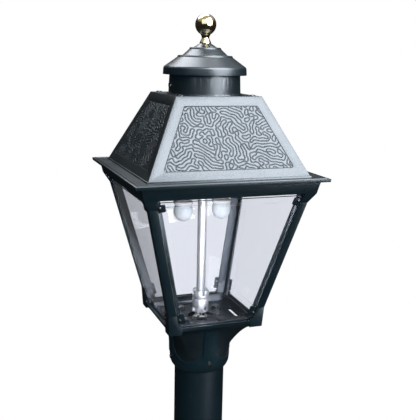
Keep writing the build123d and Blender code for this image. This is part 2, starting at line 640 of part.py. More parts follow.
with BuildPart() as cap_bridge:
    with BuildSketch(Plane.XZ):
        with BuildLine():
            inner, foot_z, top_z = BRIDGE_HALF - BRIDGE_T, BRIDGE_Z - BRIDGE_LEG, BRIDGE_Z + BRIDGE_T
            Polyline((-BRIDGE_HALF, foot_z), (-BRIDGE_HALF, top_z), (BRIDGE_HALF, top_z),
                     (BRIDGE_HALF, foot_z), (inner, foot_z), (inner, BRIDGE_Z), (-inner, BRIDGE_Z),
                     (-inner, foot_z), close=True)
        make_face()
    extrude(amount=BRIDGE_W / 2, both=True)
    disc(BRIDGE_Z, ROD_R + FIT, BRIDGE_T, Mode.SUBTRACT)
    with BuildSketch(Plane.YZ):
        with Locations((0, BRIDGE_SCREW_Z)):
            Circle(BRIDGE_SCREW_R + FIT)
    extrude(amount=60, both=True, mode=Mode.SUBTRACT)
finish(cap_bridge, "cap_bridge")

with BuildPart() as bridge_screws:
    share = (CHIMNEY_TOP - BRIDGE_SCREW_Z) / (CHIMNEY_TOP - ROOF_TOP - CHIMNEY_KNEE)
    head_x = CHIMNEY_R[1] + share * (CHIMNEY_R[0] - CHIMNEY_R[1]) + 0.3
    for side in (-1, 1):
        with BuildSketch(Plane.YZ.offset(side * head_x)):
            with Locations((0, BRIDGE_SCREW_Z)):
                Circle(BRIDGE_SCREW_R)
        extrude(amount=-side * 8)
        with BuildSketch(Plane.YZ.offset(side * head_x)):
            with Locations((0, BRIDGE_SCREW_Z)):
                Circle(BRIDGE_HEAD[0])
        extrude(amount=side * BRIDGE_HEAD[1])
finish(bridge_screws, "bridge_screws")

with BuildPart() as tie_rod:
    disc(ROD_FOOT, ROD_R, ROD_TOP - ROD_FOOT)
finish(tie_rod, "tie_rod")

with BuildPart() as tie_nuts:
    for z in (BRIDGE_Z - NUT_H, BRIDGE_Z + BRIDGE_T, CAP_SEAT - NUT_H):
        with BuildSketch(Plane.XY.offset(z)):
            RegularPolygon(NUT_ACROSS / 2, 6, major_radius=False)
            Circle(ROD_R + FIT, mode=Mode.SUBTRACT)
        extrude(amount=NUT_H)
finish(tie_nuts, "tie_nuts")

with BuildPart() as chimney_cap:
    polar_revolve([(r, CAP_TOP - drop) for r, drop in CAP_OUTSIDE + CAP_INSIDE])
finish(chimney_cap, "chimney_cap")

with BuildPart() as finial:
    with BuildSketch(Plane.XZ):
        with BuildLine():
            neck_z = BALL_Z - math.sqrt(BALL_R ** 2 - NECK_R ** 2)
            Polyline((0, CAP_TOP), (8.4, CAP_TOP), (8.2, CAP_TOP + 1.4), (6.2, CAP_TOP + 5.4),
                     (5.3, CAP_TOP + 6.8), (5.5, CAP_TOP + 9.0), (NECK_R, neck_z))
            ThreePointArc((NECK_R, neck_z), (BALL_R, BALL_Z), (0, BALL_Z + BALL_R))
            Line((0, BALL_Z + BALL_R), (0, CAP_TOP))
        make_face()
    revolve(axis=Axis.Z)
    disc(CAP_TOP, ROD_R + FIT, ROD_TOP + 0.4 - CAP_TOP, Mode.SUBTRACT)
finish(finial, "finial")

# ---------------------------------------------------------------- gas supply and burner
PIPE_R = 6.15
HUB_DROP = 12.0                           # hub of the tee below its axis
SOCKET_R = 6.0                            # nozzle sockets in the tee
SOCKET_Z = TEE_Z - 13.0
SOCKET_DEPTH = 8.0
NOZZLE_BORE_R = 4.4
NOZZLE_FOOT = MANTLE_TOP - 9.0
COLLAR_FOOT = MANTLE_TOP - 5.0            # of the mantle's ceramic collar
MANTLE_NECK_R = 11.6
BRACKET = (32.5, 8.0, 2.5)                # half length, half width, thickness
LOCKNUT_H = 4.0
LOCKNUT_HALF = 9.0                        # half across flats
LOW_NUT_Z = FITTER_TOP - BRACKET[2] - LOCKNUT_H
INLET_R = 7.94                            # flare thread of the gas inlet
INLET_Z = FITTER_BORE_TOP + 2.0           # clear of the end of the post
INLET_HEX = (9.5, INLET_Z + 9.0, LOW_NUT_Z - 0.5)     # half across flats, foot, top
PIPE_Z = INLET_Z + 10.5
PIPE_BORE_R = 3.5
COCK_R = 7.0
COCK_Z_RANGE = (FITTER_TOP + LOCKNUT_H, MIXER_Z[0])
SPINDLE_R = 3.0
GAS_WAY_R = 1.2
KEY_R = 2.0
KEY_BLADE = (4.8, 7.6, 3.5)               # width, height, thickness

with BuildPart() as burner_bracket:
    with BuildSketch(Plane.XY.offset(FITTER_TOP)):
        Rectangle(2 * BRACKET[0], 2 * BRACKET[1])
        Circle(PIPE_R + FIT, mode=Mode.SUBTRACT)
        with Locations((-BRACKET_SCREW_AT, 0), (BRACKET_SCREW_AT, 0)):
            Circle(BRACKET_SCREW_R + FIT, mode=Mode.SUBTRACT)
    extrude(amount=-BRACKET[2])
finish(burner_bracket, "burner_bracket")

with BuildPart() as bracket_screws:
    with BuildSketch(Plane.XY.offset(FLOOR_Z)):
        with Locations((-BRACKET_SCREW_AT, 0), (BRACKET_SCREW_AT, 0)):
            Circle(BRACKET_HEAD[0])
    extrude(amount=BRACKET_HEAD[1])
    with BuildSketch(Plane.XY.offset(FLOOR_Z)):
        with Locations((-BRACKET_SCREW_AT, 0), (BRACKET_SCREW_AT, 0)):
            Circle(BRACKET_SCREW_R)
    extrude(amount=-8)
finish(bracket_screws, "bracket_screws")

with BuildPart() as locknuts:
    for z in (LOW_NUT_Z, FITTER_TOP):
        with BuildSketch(Plane.XY.offset(z)):
            RegularPolygon(LOCKNUT_HALF, 6, major_radius=False)
            Circle(PIPE_R + FIT, mode=Mode.SUBTRACT)
        extrude(amount=LOCKNUT_H)
finish(locknuts, "locknuts")

with BuildPart() as supply_pipe:
    disc(PIPE_Z, PIPE_R, COCK_Z_RANGE[0] - PIPE_Z)
    disc(PIPE_Z, PIPE_BORE_R, FITTER_TOP, Mode.SUBTRACT)
finish(supply_pipe, "supply_pipe")

with BuildPart() as inlet_fitting:
    hex_half, hex_z, hex_top = INLET_HEX
    disc(INLET_Z, INLET_R, hex_z - INLET_Z + 1)
    with BuildSketch(Plane.XY.offset(hex_z)):
        RegularPolygon(hex_half, 6, major_radius=False)
    extrude(amount=hex_top - hex_z)
    disc(INLET_Z, PIPE_BORE_R, FITTER_TOP, Mode.SUBTRACT)
    disc(PIPE_Z, PIPE_R + FIT, FITTER_TOP, Mode.SUBTRACT)
    chamfer(inlet_fitting.edges().group_by(Axis.Z)[0].sort_by(SortBy.LENGTH)[-1], 1.5)
finish(inlet_fitting, "inlet_fitting")

key_dir = Vector(math.cos(math.radians(COCK_TURN)), math.sin(math.radians(COCK_TURN)), 0)
key_plane = Plane(origin=(0, 0, COCK_Z), x_dir=(0, 0, 1), z_dir=key_dir)

with BuildPart() as gas_cock:
    disc(COCK_Z_RANGE[0], COCK_R, COCK_Z_RANGE[1] - COCK_Z_RANGE[0])
    with BuildSketch(key_plane):
        Circle(SPINDLE_R)
    extrude(amount=11)
    with BuildSketch(key_plane.offset(4)):
        Circle(KEY_R + FIT)
    extrude(amount=10, mode=Mode.SUBTRACT)
    disc(COCK_Z_RANGE[0], GAS_WAY_R, FITTER_TOP, Mode.SUBTRACT)
finish(gas_cock, "gas_cock")

with BuildPart() as cock_key:
    with BuildSketch(key_plane.offset(4)):
        Circle(KEY_R)
    extrude(amount=20)
    with BuildSketch(key_plane.offset(20.5)):
        RectangleRounded(KEY_BLADE[0], KEY_BLADE[1], 1.5)
    extrude(amount=KEY_BLADE[2])
finish(cock_key, "cock_key")

with BuildPart() as orifice:
    seat_z = MIXER_Z[0] + MIXER_WALL
    disc(seat_z, 3.4, 3)
    disc(seat_z + 3, 2.2, 4)
    disc(seat_z, 0.5, 7, Mode.SUBTRACT)
finish(orifice, "orifice")

with BuildPart() as mixer_body:
    disc(MIXER_Z[0], MIXER_R, MIXER_Z[1] - MIXER_Z[0])
    disc(MIXER_Z[0] + MIXER_WALL, MIXER_R - MIXER_WALL, MIXER_Z[0], Mode.SUBTRACT)
    disc(MIXER_Z[0], GAS_WAY_R, 2 * MIXER_WALL, Mode.SUBTRACT)
    for turn in TURNS:
        with BuildSketch(side_plane(turn + PORT_TURN, 20, PORT_Z, 0)):
            Circle(PORT_R)
        extrude(amount=-14, mode=Mode.SUBTRACT)
finish(mixer_body, "mixer_body")

with BuildPart() as air_shutter:
    disc(MIXER_Z[0] + 0.4, MIXER_R + FIT + SHUTTER_T, MIXER_Z[1] - MIXER_Z[0] - 0.8)
    disc(MIXER_Z[0], MIXER_R + FIT, MIXER_Z[1], Mode.SUBTRACT)
    for turn in TURNS:
        with BuildSketch(side_plane(turn + PORT_TURN, 20, PORT_Z, 0)):
            Circle(PORT_R + 0.3)
        extrude(amount=-14, mode=Mode.SUBTRACT)
    grip = side_plane(-70, MIXER_R + FIT + 0.3, PORT_Z - 1.4, 0)
    with BuildSketch(grip):
        Rectangle(1.4, 5)
    extrude(amount=4.5)
finish(air_shutter, "air_shutter")

with BuildPart() as tube_holder:
    floor_z, cup_r = MIXER_Z[1], MIXER_R + 1.3
    polar_revolve([(RISER_R + FIT, floor_z), (MIXER_R, floor_z), (cup_r, floor_z + 3),
                   (cup_r, HOLDER_TOP), (MIXER_R, HOLDER_TOP), (MIXER_R, floor_z + 4),
                   (RISER_R + FIT, floor_z + 4)])
    with BuildSketch(Plane.XY.offset(floor_z + 6)):      # slots between the spring fingers
        with PolarLocations(0, 4):
            Rectangle(4 * MIXER_R, 4.4)
    extrude(amount=HOLDER_TOP - floor_z, mode=Mode.SUBTRACT)
finish(tube_holder, "tube_holder")

with BuildPart() as riser_tube:
    disc(RISER_Z[0], RISER_R, RISER_Z[1] - RISER_Z[0])
    disc(RISER_Z[0], RISER_R - RISER_WALL, HEAD_Z, Mode.SUBTRACT)
finish(riser_tube, "riser_tube")

with BuildPart() as burner_tee:
    half, bore_half = MANTLE_X + 8, MANTLE_X + 4
    with BuildSketch(Plane.YZ.offset(-half)):
        with Locations((0, TEE_Z)):
            Circle(TEE_R)
    extrude(amount=2 * half)
    disc(TEE_Z - HUB_DROP, RISER_R + 1.8, HUB_DROP)
    with BuildSketch(Plane.XY.offset(SOCKET_Z)):
        with Locations((-MANTLE_X, 0), (MANTLE_X, 0)):
            Circle(SOCKET_R + 2)
    extrude(amount=TEE_Z - SOCKET_Z)
    with BuildSketch(Plane.YZ.offset(-bore_half)):
        with Locations((0, TEE_Z)):
            Circle(TEE_R - 1.8)
    extrude(amount=2 * bore_half, mode=Mode.SUBTRACT)
    disc(TEE_Z - HUB_DROP, RISER_R + FIT, HEAD_Z - TEE_Z + HUB_DROP, Mode.SUBTRACT)
    disc(TEE_Z - HUB_DROP, RISER_R - RISER_WALL, HUB_DROP, Mode.SUBTRACT)
    with BuildSketch(Plane.XY.offset(SOCKET_Z)):
        with Locations((-MANTLE_X, 0), (MANTLE_X, 0)):
            Circle(SOCKET_R + FIT)
    extrude(amount=SOCKET_DEPTH, mode=Mode.SUBTRACT)
    with BuildSketch(Plane.XY.offset(SOCKET_Z)):
        with Locations((-MANTLE_X, 0), (MANTLE_X, 0)):
            Circle(NOZZLE_BORE_R)
    extrude(amount=TEE_Z - SOCKET_Z, mode=Mode.SUBTRACT)
finish(burner_tee, "burner_tee")

for name, x in (("left", -MANTLE_X), ("right", MANTLE_X)):
    axis = Axis((x, 0, 0), (0, 0, 1))
    with BuildPart() as nozzle:
        with BuildSketch(Plane.XZ):
            with BuildLine():
                bore_x, skin_x, top_z = x + NOZZLE_BORE_R, x + SOCKET_R, TEE_Z - 6.2
                Polyline((bore_x, NOZZLE_FOOT), (skin_x - 0.4, NOZZLE_FOOT), (skin_x, NOZZLE_FOOT + 4),
                         (skin_x, top_z), (bore_x, top_z), close=True)
            make_face()
        revolve(axis=axis)
    finish(nozzle, f"nozzle_{name}")
    with BuildPart() as collar:
        with BuildSketch(Plane.XZ):
            with BuildLine():
                bore_x, rim_x, top_z = x + SOCKET_R + FIT, x + MANTLE_R + 0.4, MANTLE_TOP + 3
                Polyline((bore_x, COLLAR_FOOT), (rim_x - 2.2, COLLAR_FOOT), (rim_x, COLLAR_FOOT + 2.4),
                         (rim_x, MANTLE_TOP), (x + 9, top_z), (bore_x, top_z), close=True)
            make_face()
        revolve(axis=axis)
    finish(collar, f"mantle_collar_{name}")
    with BuildPart() as mantle:
        mid, inner = MANTLE_BOTTOM + MANTLE_R, MANTLE_R - MANTLE_WALL
        shoulder, half_turn = COLLAR_FOOT - 4, math.sqrt(0.5)
        with BuildSketch(Plane.XZ):
            with BuildLine():
                ThreePointArc((x, mid - MANTLE_R), (x + MANTLE_R * half_turn, mid - MANTLE_R * half_turn),
                              (x + MANTLE_R, mid))
                Polyline((x + MANTLE_R, mid), (x + MANTLE_R, shoulder), (x + MANTLE_NECK_R, COLLAR_FOOT),
                         (x + MANTLE_NECK_R - MANTLE_WALL, COLLAR_FOOT), (x + inner, shoulder),
                         (x + inner, mid))
                ThreePointArc((x + inner, mid), (x + inner * half_turn, mid - inner * half_turn),
                              (x, mid - inner))
                Line((x, mid - inner), (x, mid - MANTLE_R))
            make_face()
        revolve(axis=axis)
    finish(mantle, f"mantle_{name}")
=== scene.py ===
"""Looks of a post top gas lantern: finishes, cast relief, glazing, burner, screws and studio.

All sizes are millimetres in the classes and become metres where a mesh is made. The frame is the
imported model's: +Z up the post, -Y the lantern's front, the origin at the fitter's mouth.
"""

import logging
import math
from collections.abc import Callable
from dataclasses import dataclass, field
from enum import Enum

import bmesh
import bpy
import numpy as np
from mathutils import Matrix, Vector


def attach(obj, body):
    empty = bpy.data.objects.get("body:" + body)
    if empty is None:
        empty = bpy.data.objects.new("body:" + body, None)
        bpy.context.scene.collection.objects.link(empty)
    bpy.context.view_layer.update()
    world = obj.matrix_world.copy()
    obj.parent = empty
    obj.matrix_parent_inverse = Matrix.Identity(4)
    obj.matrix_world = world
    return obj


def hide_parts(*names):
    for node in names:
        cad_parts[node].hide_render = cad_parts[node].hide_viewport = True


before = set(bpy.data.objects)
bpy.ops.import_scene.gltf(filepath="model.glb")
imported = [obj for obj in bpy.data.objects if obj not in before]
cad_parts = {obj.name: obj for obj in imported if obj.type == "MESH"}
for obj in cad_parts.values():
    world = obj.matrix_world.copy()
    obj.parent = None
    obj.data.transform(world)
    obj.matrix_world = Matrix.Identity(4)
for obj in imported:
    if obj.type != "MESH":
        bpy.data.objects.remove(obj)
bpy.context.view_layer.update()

MM = 0.001
WELD = 2e-6  # m, within which the vertices of a CAD mesh are one
TINY = 1e-6  # a length that counts as none
FLAT = math.radians(0.6)  # a turn that counts as none
EDGE = math.radians(34)  # a turn from which an edge is eased
LOG = logging.getLogger("lantern")

Colour = tuple[float, float, float]
Point = tuple[float, float, float]
Profile = list[tuple[float, float]]
Socket = bpy.types.NodeSocket
Material = bpy.types.Material
Piece = bpy.types.Object


class Side(Enum):
    """The four sides, each with its turn about +Z from the front, in degrees."""

    FRONT = 0
    RIGHT = 90
    BACK = 180
    LEFT = 270


class Body(Enum):
    """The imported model's rigid bodies that new pieces ride on."""

    LANTERN = "lantern"
    ROOF = "roof"
    SHUTTER = "air_shutter"


# --- shader maths
def operator(operation: str, first: bool = True) -> "Callable[[Value, Value | float], Value]":
    """Return a method that combines its own value with another in one Math node."""
    def method(self: "Value", other: "Value | float") -> "Value":
        """Combine two values."""
        return self.math(operation, other, first=first)
    return method


class Value:
    """A number on its way through a shader; its operators add Math nodes."""

    def __init__(self, tree: "Tree", socket: Socket) -> None:
        """Wrap one output socket of the tree."""
        self.tree = tree
        self.socket = socket

    def math(self, operation: str, *others: "Value | float", first: bool = True) -> "Value":
        """Combine this value, first or last, with others in one Math node."""
        operands = [self, *others] if first else [*others, self]
        node = self.tree.node("ShaderNodeMath", {"operation": operation},
                              {i: operand for i, operand in enumerate(operands)})
        return Value(self.tree, node.outputs[0])

    __add__, __radd__ = operator("ADD"), operator("ADD", first=False)
    __sub__, __rsub__ = operator("SUBTRACT"), operator("SUBTRACT", first=False)
    __mul__, __truediv__ = operator("MULTIPLY"), operator("DIVIDE")
    __gt__ = operator("GREATER_THAN")

    def sine(self) -> "Value":
        """Return the sine of self, in radians."""
        return self.math("SINE")

    def clamped(self) -> "Value":
        """Return self held between 0 and 1."""
        return self.math("MAXIMUM", 0.0).math("MINIMUM", 1.0)


class Tree:
    """A node tree, with one method that adds any node."""

    def __init__(self, tree: bpy.types.NodeTree) -> None:
        """Start on an emptied node tree."""
        self.tree = tree
        self.tree.nodes.clear()

    def node(self, kind: str, settings: dict | None = None,
             sockets: dict | None = None) -> bpy.types.Node:
        """Add a node.

        Args:
            kind: the node's type name.
            settings: attributes to set first.
            sockets: input name or index to a Value, a socket, or a plain value.

        Returns:
            The new node.
        """
        node = self.tree.nodes.new(kind)
        for key, setting in (settings or {}).items():
            setattr(node, key, setting)
        for key, source in (sockets or {}).items():
            if isinstance(source, Value):
                self.tree.links.new(source.socket, node.inputs[key])
            elif isinstance(source, Socket):
                self.tree.links.new(source, node.inputs[key])
            else:
                node.inputs[key].default_value = source
        return node

    def parts(self, vector: Socket) -> list[Value]:
        """Return a vector's x, y and z."""
        split = self.node("ShaderNodeSeparateXYZ", {}, {0: vector})
        return [Value(self, split.outputs[i]) for i in range(3)]


class Shader(Tree):
    """The node tree of a new material."""

    def __init__(self, name: str) -> None:
        """Start an empty material of that name."""
        self.material = bpy.data.materials.new(name)
        self.material.use_nodes = True
        super().__init__(self.material.node_tree)

    def place(self) -> Socket:
        """Return the Object coordinates."""
        return self.node("ShaderNodeTexCoord").outputs["Object"]

    def attribute(self, name: str) -> Value:
        """Return a number that the mesh carries under that name."""
        return Value(self, self.node("ShaderNodeAttribute", {"attribute_name": name}).outputs["Fac"])

    def noise(self, scale: float, detail: float = 2.0, roughness: float = 0.5,
              at: Socket | None = None) -> Value:
        """Return fractal noise about 0.5, its scale in features per metre."""
        node = self.node("ShaderNodeTexNoise", {},
                         {"Vector": at or self.place(), "Scale": scale, "Detail": detail,
                          "Roughness": roughness})
        return Value(self, node.outputs["Fac"])

    def mixed(self, share: "Value | float", first: "Colour | Socket",
              second: "Colour | Socket") -> Socket:
        """Blend two colours: share 0 gives the first, 1 the second."""
        ends = [(*end, 1.0) if isinstance(end, tuple) else end for end in (first, second)]
        node = self.node("ShaderNodeMix", {"data_type": "RGBA"}, {0: share, 6: ends[0], 7: ends[1]})
        return node.outputs[2]

    def bump(self, height: Value, distance: float) -> Socket:
        """Return a normal bent by a height in units of distance, in metres."""
        node = self.node("ShaderNodeBump", {}, {"Height": height, "Distance": distance, "Strength": 1.0})
        return node.outputs["Normal"]

    def finish(self, shader: Socket) -> Material:
        """Connect the surface shader and return the material."""
        self.node("ShaderNodeOutputMaterial", {}, {"Surface": shader})
        return self.material

    def principled(self, sockets: dict) -> Material:
        """Finish with a Principled surface and return the material."""
        return self.finish(self.node("ShaderNodeBsdfPrincipled", {}, sockets).outputs["BSDF"])


# --- finishes
@dataclass(frozen=True)
class Shields:
    """The fitter's four shield-shaped pockets, round the post's axis between the ribs; mm."""

    radius: float = 48.0  # of the fitter, where widths are measured
    half_w: float = 25.0
    foot: float = 18.0
    spring: float = 36.0
    soft: float = 1.2  # width of the blend at their outline

    def share(self, tree: Shader) -> Value:
        """Return 1 inside a shield and 0 on the ribs and the collar."""
        x, y, z = (part / MM for part in tree.parts(tree.place()))
        turn = y.math("ABSOLUTE").math("ARCTAN2", x.math("ABSOLUTE")) - math.pi / 4
        side = (turn * (self.radius / self.half_w)).math("ABSOLUTE")
        bow = (1 - side * side).math("MAXIMUM", 0.0).math("SQRT")
        above = (z - self.spring + bow * (self.spring - self.foot)) / self.soft
        within = (1 - side) * (self.half_w / self.soft)
        return above.clamped() * within.clamped()


@dataclass(frozen=True)
class SatinPaint:
    """Baked black satin paint over sand cast or spun aluminium."""

    name: str
    grain: float = 0.10  # height of the sand grain, mm
    grain_size: float = 1.3  # mm
    gloss: float = 0.36  # mean roughness
    grooved: bool = False  # whether the mesh carries a "land" height, by which the grooves take the deep colour as painted shade
    shields: Shields | None = None  # rough pockets that lie between ribs; their colour is darkened as painted shade and the ribs lightened as painted highlight
    deep: Colour = (0.0002, 0.0024, 0.0038)
    thin: Colour = (0.0006, 0.0055, 0.0085)
    dust: Colour = (0.004, 0.011, 0.015)
    clouds: float = 26.0  # worn patches per metre
    pinholes: float = 900.0  # per metre
    settling: float = 60.0  # dusty patches per metre
    ior: float = 1.9  # over a usual paint's: the photograph's sheen is strong
    sheen: tuple[float, ...] = (0.82, 0.90, 1.0, 1.0)

    def build(self) -> Material:
        """Return the paint's material."""
        tree = Shader(self.name)
        grain = tree.noise(1 / (self.grain_size * MM), 3.0, 0.65)
        cloud = tree.noise(self.clouds, 3.0, 0.55)
        pinholes = (tree.noise(self.pinholes, 1.0) - 0.62).clamped() * 2.2
        wear_and_painted_light = (cloud * 0.55 + grain * 0.75 - 0.15).clamped()
        shelter = 0.0
        if self.grooved:
            # painted shade: the grooves take the deep colour, and the lands lean to the thin colour,
            # partly wear and partly painted highlight
            land = (tree.attribute("land") * 1.45).clamped()
            wear_and_painted_light, shelter = (wear_and_painted_light * 0.6 + 0.4) * land, (1 - land) * 0.5
        if self.shields:
            # painted shade: the pockets take the deep colour; painted highlight: the ribs lean to the
            # thin colour
            pocket = self.shields.share(tree)
            wear_and_painted_light, shelter = (wear_and_painted_light + 0.7) * (1 - pocket), pocket * -0.12
            grain = grain * (1 + pocket * 2.0)
        colour = tree.mixed(wear_and_painted_light, self.deep, self.thin)
        settled = (tree.noise(self.settling, 5.0, 0.7) - 0.56).clamped() * 1.6
        rough = (cloud - 0.5) * 0.14 + (grain - 0.5) * 0.22 + pinholes * 0.2 + self.gloss + shelter
        height = grain * 0.85 - pinholes * 0.35
        return tree.principled({
            "Base Color": tree.mixed(settled, colour, self.dust),
            "Roughness": rough, "Normal": tree.bump(height, self.grain * MM),
            "IOR": self.ior, "Specular Tint": self.sheen})


@dataclass(frozen=True)
class PolishedBrass:
    """Buffed and lacquered yellow brass."""

    name: str
    light: Colour = (0.96, 0.84, 0.58)
    dark: Colour = (0.84, 0.68, 0.40)
    gloss: float = 0.12
    lines: float = 0.012  # depth of the turning lines, mm

    def build(self) -> Material:
        """Return the brass's material."""
        tree = Shader(self.name)
        tarnish = tree.noise(120.0, 4.0, 0.6)
        turned = tree.node("ShaderNodeMapping", {},
                           {"Vector": tree.place(), "Scale": (60.0, 60.0, 3200.0)})
        lines = tree.noise(1.0, 2.0, at=turned.outputs[0])
        return tree.principled({
            "Base Color": tree.mixed(tarnish, self.light, self.dark),
            "Metallic": 1.0,
            "Roughness": tarnish * 0.08 + lines * 0.04 + (self.gloss - 0.05),
            "Normal": tree.bump(lines, self.lines * MM)})


@dataclass(frozen=True)
class BareMetal:
    """Plated or drawn metal with faint tool lines."""

    name: str
    light: Colour
    dark: Colour
    gloss: float = 0.28
    lines: float = 0.02  # depth of the tool lines, mm
    stretch: Point = (900.0, 900.0, 90.0)  # tool lines per metre

    def build(self) -> Material:
        """Return the metal's material."""
        tree = Shader(self.name)
        mapped = tree.node("ShaderNodeMapping", {}, {"Vector": tree.place(), "Scale": self.stretch})
        drawn = tree.noise(1.0, 3.0, 0.6, at=mapped.outputs[0])
        cloud = tree.noise(90.0, 3.0)
        return tree.principled({
            "Base Color": tree.mixed((cloud * 0.6 + drawn * 0.4).clamped(), self.light, self.dark),
            "Metallic": 1.0,
            "Roughness": (drawn - 0.5) * 0.14 + (cloud - 0.5) * 0.1 + self.gloss,
            "Normal": tree.bump(drawn, self.lines * MM)})


@dataclass(frozen=True)
class KnitCeramic:
    """The white oxide fabric of a gas mantle: a fine tubular knit about a vertical axis."""

    name: str
    axis_x: float  # the mantle's axis, mm
    wales: int = 52  # stitches around
    course: float = 1.0  # height of one course, mm
    light: Colour = (0.93, 0.93, 0.91)
    shade: Colour = (0.70, 0.70, 0.68)
    stitch: float = 0.18  # height of one stitch, mm

    def build(self) -> Material:
        """Return the knit's material."""
        tree = Shader(self.name)
        x, y, z = tree.parts(tree.place())
        around = y.math("ARCTAN2", x - self.axis_x * MM)
        wale = (around * float(self.wales)).sine()
        row = (z * (2 * math.pi / (self.course * MM)) + wale * 0.9).sine()
        stitch = (wale * 0.5 + row * 0.5) * 0.5 + 0.5
        cloud = tree.noise(160.0, 3.0)
        return tree.principled({
            "Base Color": tree.mixed((stitch * 0.7 + cloud * 0.4).clamped(), self.shade, self.light),
            "Roughness": 0.82 + (cloud - 0.5) * 0.1,
            "Normal": tree.bump(stitch, self.stitch * MM),
            "Subsurface Weight": 0.15, "Subsurface Scale": 0.004})


@dataclass(frozen=True)
class FiredCeramic:
    """Unglazed burner ceramic."""

    name: str
    light: Colour = (0.88, 0.87, 0.84)
    shade: Colour = (0.72, 0.70, 0.66)
    grit: float = 0.05  # mm

    def build(self) -> Material:
        """Return the ceramic's material."""
        tree = Shader(self.name)
        cloud, speck = tree.noise(110.0, 4.0), tree.noise(1500.0, 2.0)
        return tree.principled({
            "Base Color": tree.mixed((cloud * 0.7 + speck * 0.3).clamped(), self.shade, self.light),
            "Roughness": 0.6 + (speck - 0.5) * 0.3,
            "Normal": tree.bump(speck, self.grit * MM)})


@dataclass(frozen=True)
class ClearGlass:
    """Clear tempered glass: its faces, or its ground edges."""

    name: str
    tint: Colour = (0.915, 0.930, 0.975)
    gloss: float = 0.004
    ior: float = 1.4
    wave: float = 0.01  # height of the pane's waves, mm

    def build(self) -> Material:
        """Return the glass's material, which lets lamp light through to what stands behind it."""
        tree = Shader(self.name)
        smear = tree.noise(14.0, 3.0, 0.5)
        wave = tree.noise(30.0, 1.0)
        glass = tree.node("ShaderNodeBsdfPrincipled", {}, {
            "Base Color": tree.mixed(smear, self.tint, tuple(c * 0.985 for c in self.tint)),
            "Roughness": (smear - 0.4).clamped() * 0.02 + self.gloss,
            "Normal": tree.bump(wave, self.wave * MM),
            "IOR": self.ior, "Transmission Weight": 1.0})
        clear = tree.node("ShaderNodeBsdfTransparent", {}, {"Color": (*self.tint, 1.0)})
        path = tree.node("ShaderNodeLightPath")
        lamp_light = (Value(tree, path.outputs["Is Shadow Ray"])
                      + Value(tree, path.outputs["Is Diffuse Ray"])).clamped()
        mix = tree.node("ShaderNodeMixShader", {}, {0: lamp_light, 1: glass.outputs["BSDF"],
                                                    2: clear.outputs["BSDF"]})
        return tree.finish(mix.outputs[0])


# --- mesh helpers
def new_object(name: str, mesh: bpy.types.Mesh, *materials: Material) -> Piece:
    """Link a mesh in metres as an object at the origin, its materials in slot order."""
    piece = bpy.data.objects.new(name, mesh)
    bpy.context.scene.collection.objects.link(piece)
    for material in materials:
        mesh.materials.append(material)
    return piece


def stand_in(piece: Piece, node: str, body: Body) -> Piece:
    """Log a piece, and put it in a CAD node's place and on its body."""
    LOG.info(piece.name)
    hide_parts(node)
    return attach(piece, body.value)


def applied(piece: Piece) -> Piece:
    """Turn a piece and its live modifiers into a plain mesh and return the piece."""
    depsgraph = bpy.context.evaluated_depsgraph_get()
    baked = bpy.data.meshes.new_from_object(piece.evaluated_get(depsgraph))
    old = piece.data
    piece.modifiers.clear()
    piece.data = baked
    bpy.data.meshes.remove(old)
    return piece


def welded(node: str) -> bmesh.types.BMesh:
    """Return the shape of a CAD node with its vertices welded."""
    shape = bmesh.new()
    shape.from_mesh(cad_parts[node].data)
    bmesh.ops.remove_doubles(shape, verts=shape.verts, dist=WELD)
    return shape


def smooth_by_angle(mesh: bpy.types.Mesh, degrees: float = 32.0) -> None:
    """Shade a mesh smooth, with sharp edges where it turns by more than that."""
    mesh.shade_smooth()
    shape = bmesh.new()
    shape.from_mesh(mesh)
    for edge in shape.edges:
        if len(edge.link_faces) == 2 and edge.calc_face_angle(0.0) > math.radians(degrees):
            edge.smooth = False
    shape.to_mesh(mesh)
    shape.free()


def rounded(outline: Profile, radius: float, steps: int = 4, closed: bool = True) -> Profile:
    """Round the corners of an outline.

    Args:
        outline: (radius, height) points, mm.
        radius: the cut back from each corner, mm, limited by short runs.
        steps: segments of each rounding.
        closed: whether the last point joins the first.

    Returns:
        The rounded outline.
    """
    points = [Vector(p) for p in outline]
    result: Profile = []
    for i, corner in enumerate(points):
        before, after = points[i - 1], points[(i + 1) % len(points)]
        if (not closed and i in (0, len(points) - 1)) or corner.x < TINY:
            result.append(tuple(corner))
            continue
        back, ahead = before - corner, after - corner
        cut = min(radius, 0.45 * back.length, 0.45 * ahead.length)
        start, end = corner + back.normalized() * cut, corner + ahead.normalized() * cut
        for step in range(steps + 1):
            t = step / steps
            point = start * (1 - t) ** 2 + corner * 2 * t * (1 - t) + end * t ** 2
            result.append((point.x, point.y))
    return result


def lathe(name: str, outline: Profile, segments: int, *materials: Material,
          centre: float = 0.0) -> Piece:
    """Turn a closed outline about a vertical axis.

    Args:
        name: the piece's name.
        outline: closed (radius, height) outline, mm; a point at radius 0 becomes a pole.
        segments: steps around.
        materials: the piece's materials.
        centre: x of the axis, mm.

    Returns:
        The turned piece.
    """
    shape = bmesh.new()
    rings = []
    for radius, height in outline:
        if radius < TINY:
            rings.append([shape.verts.new((centre * MM, 0.0, height * MM))])
            continue
        rings.append([shape.verts.new(((centre + radius * math.cos(a)) * MM, radius * math.sin(a) * MM,
                                       height * MM))
                      for a in (2 * math.pi * k / segments for k in range(segments))])
    for ring, after in zip(rings, rings[1:] + rings[:1]):
        for k in range(segments):
            corners = [ring[k % len(ring)], ring[(k + 1) % len(ring)],
                       after[(k + 1) % len(after)], after[k % len(after)]]
            distinct = list(dict.fromkeys(corners))
            if len(distinct) >= 3:
                shape.faces.new(distinct)
    bmesh.ops.recalc_face_normals(shape, faces=shape.faces)
    mesh = bpy.data.meshes.new(name)
    shape.to_mesh(mesh)
    shape.free()
    smooth_by_angle(mesh)
    return new_object(name, mesh, *materials)


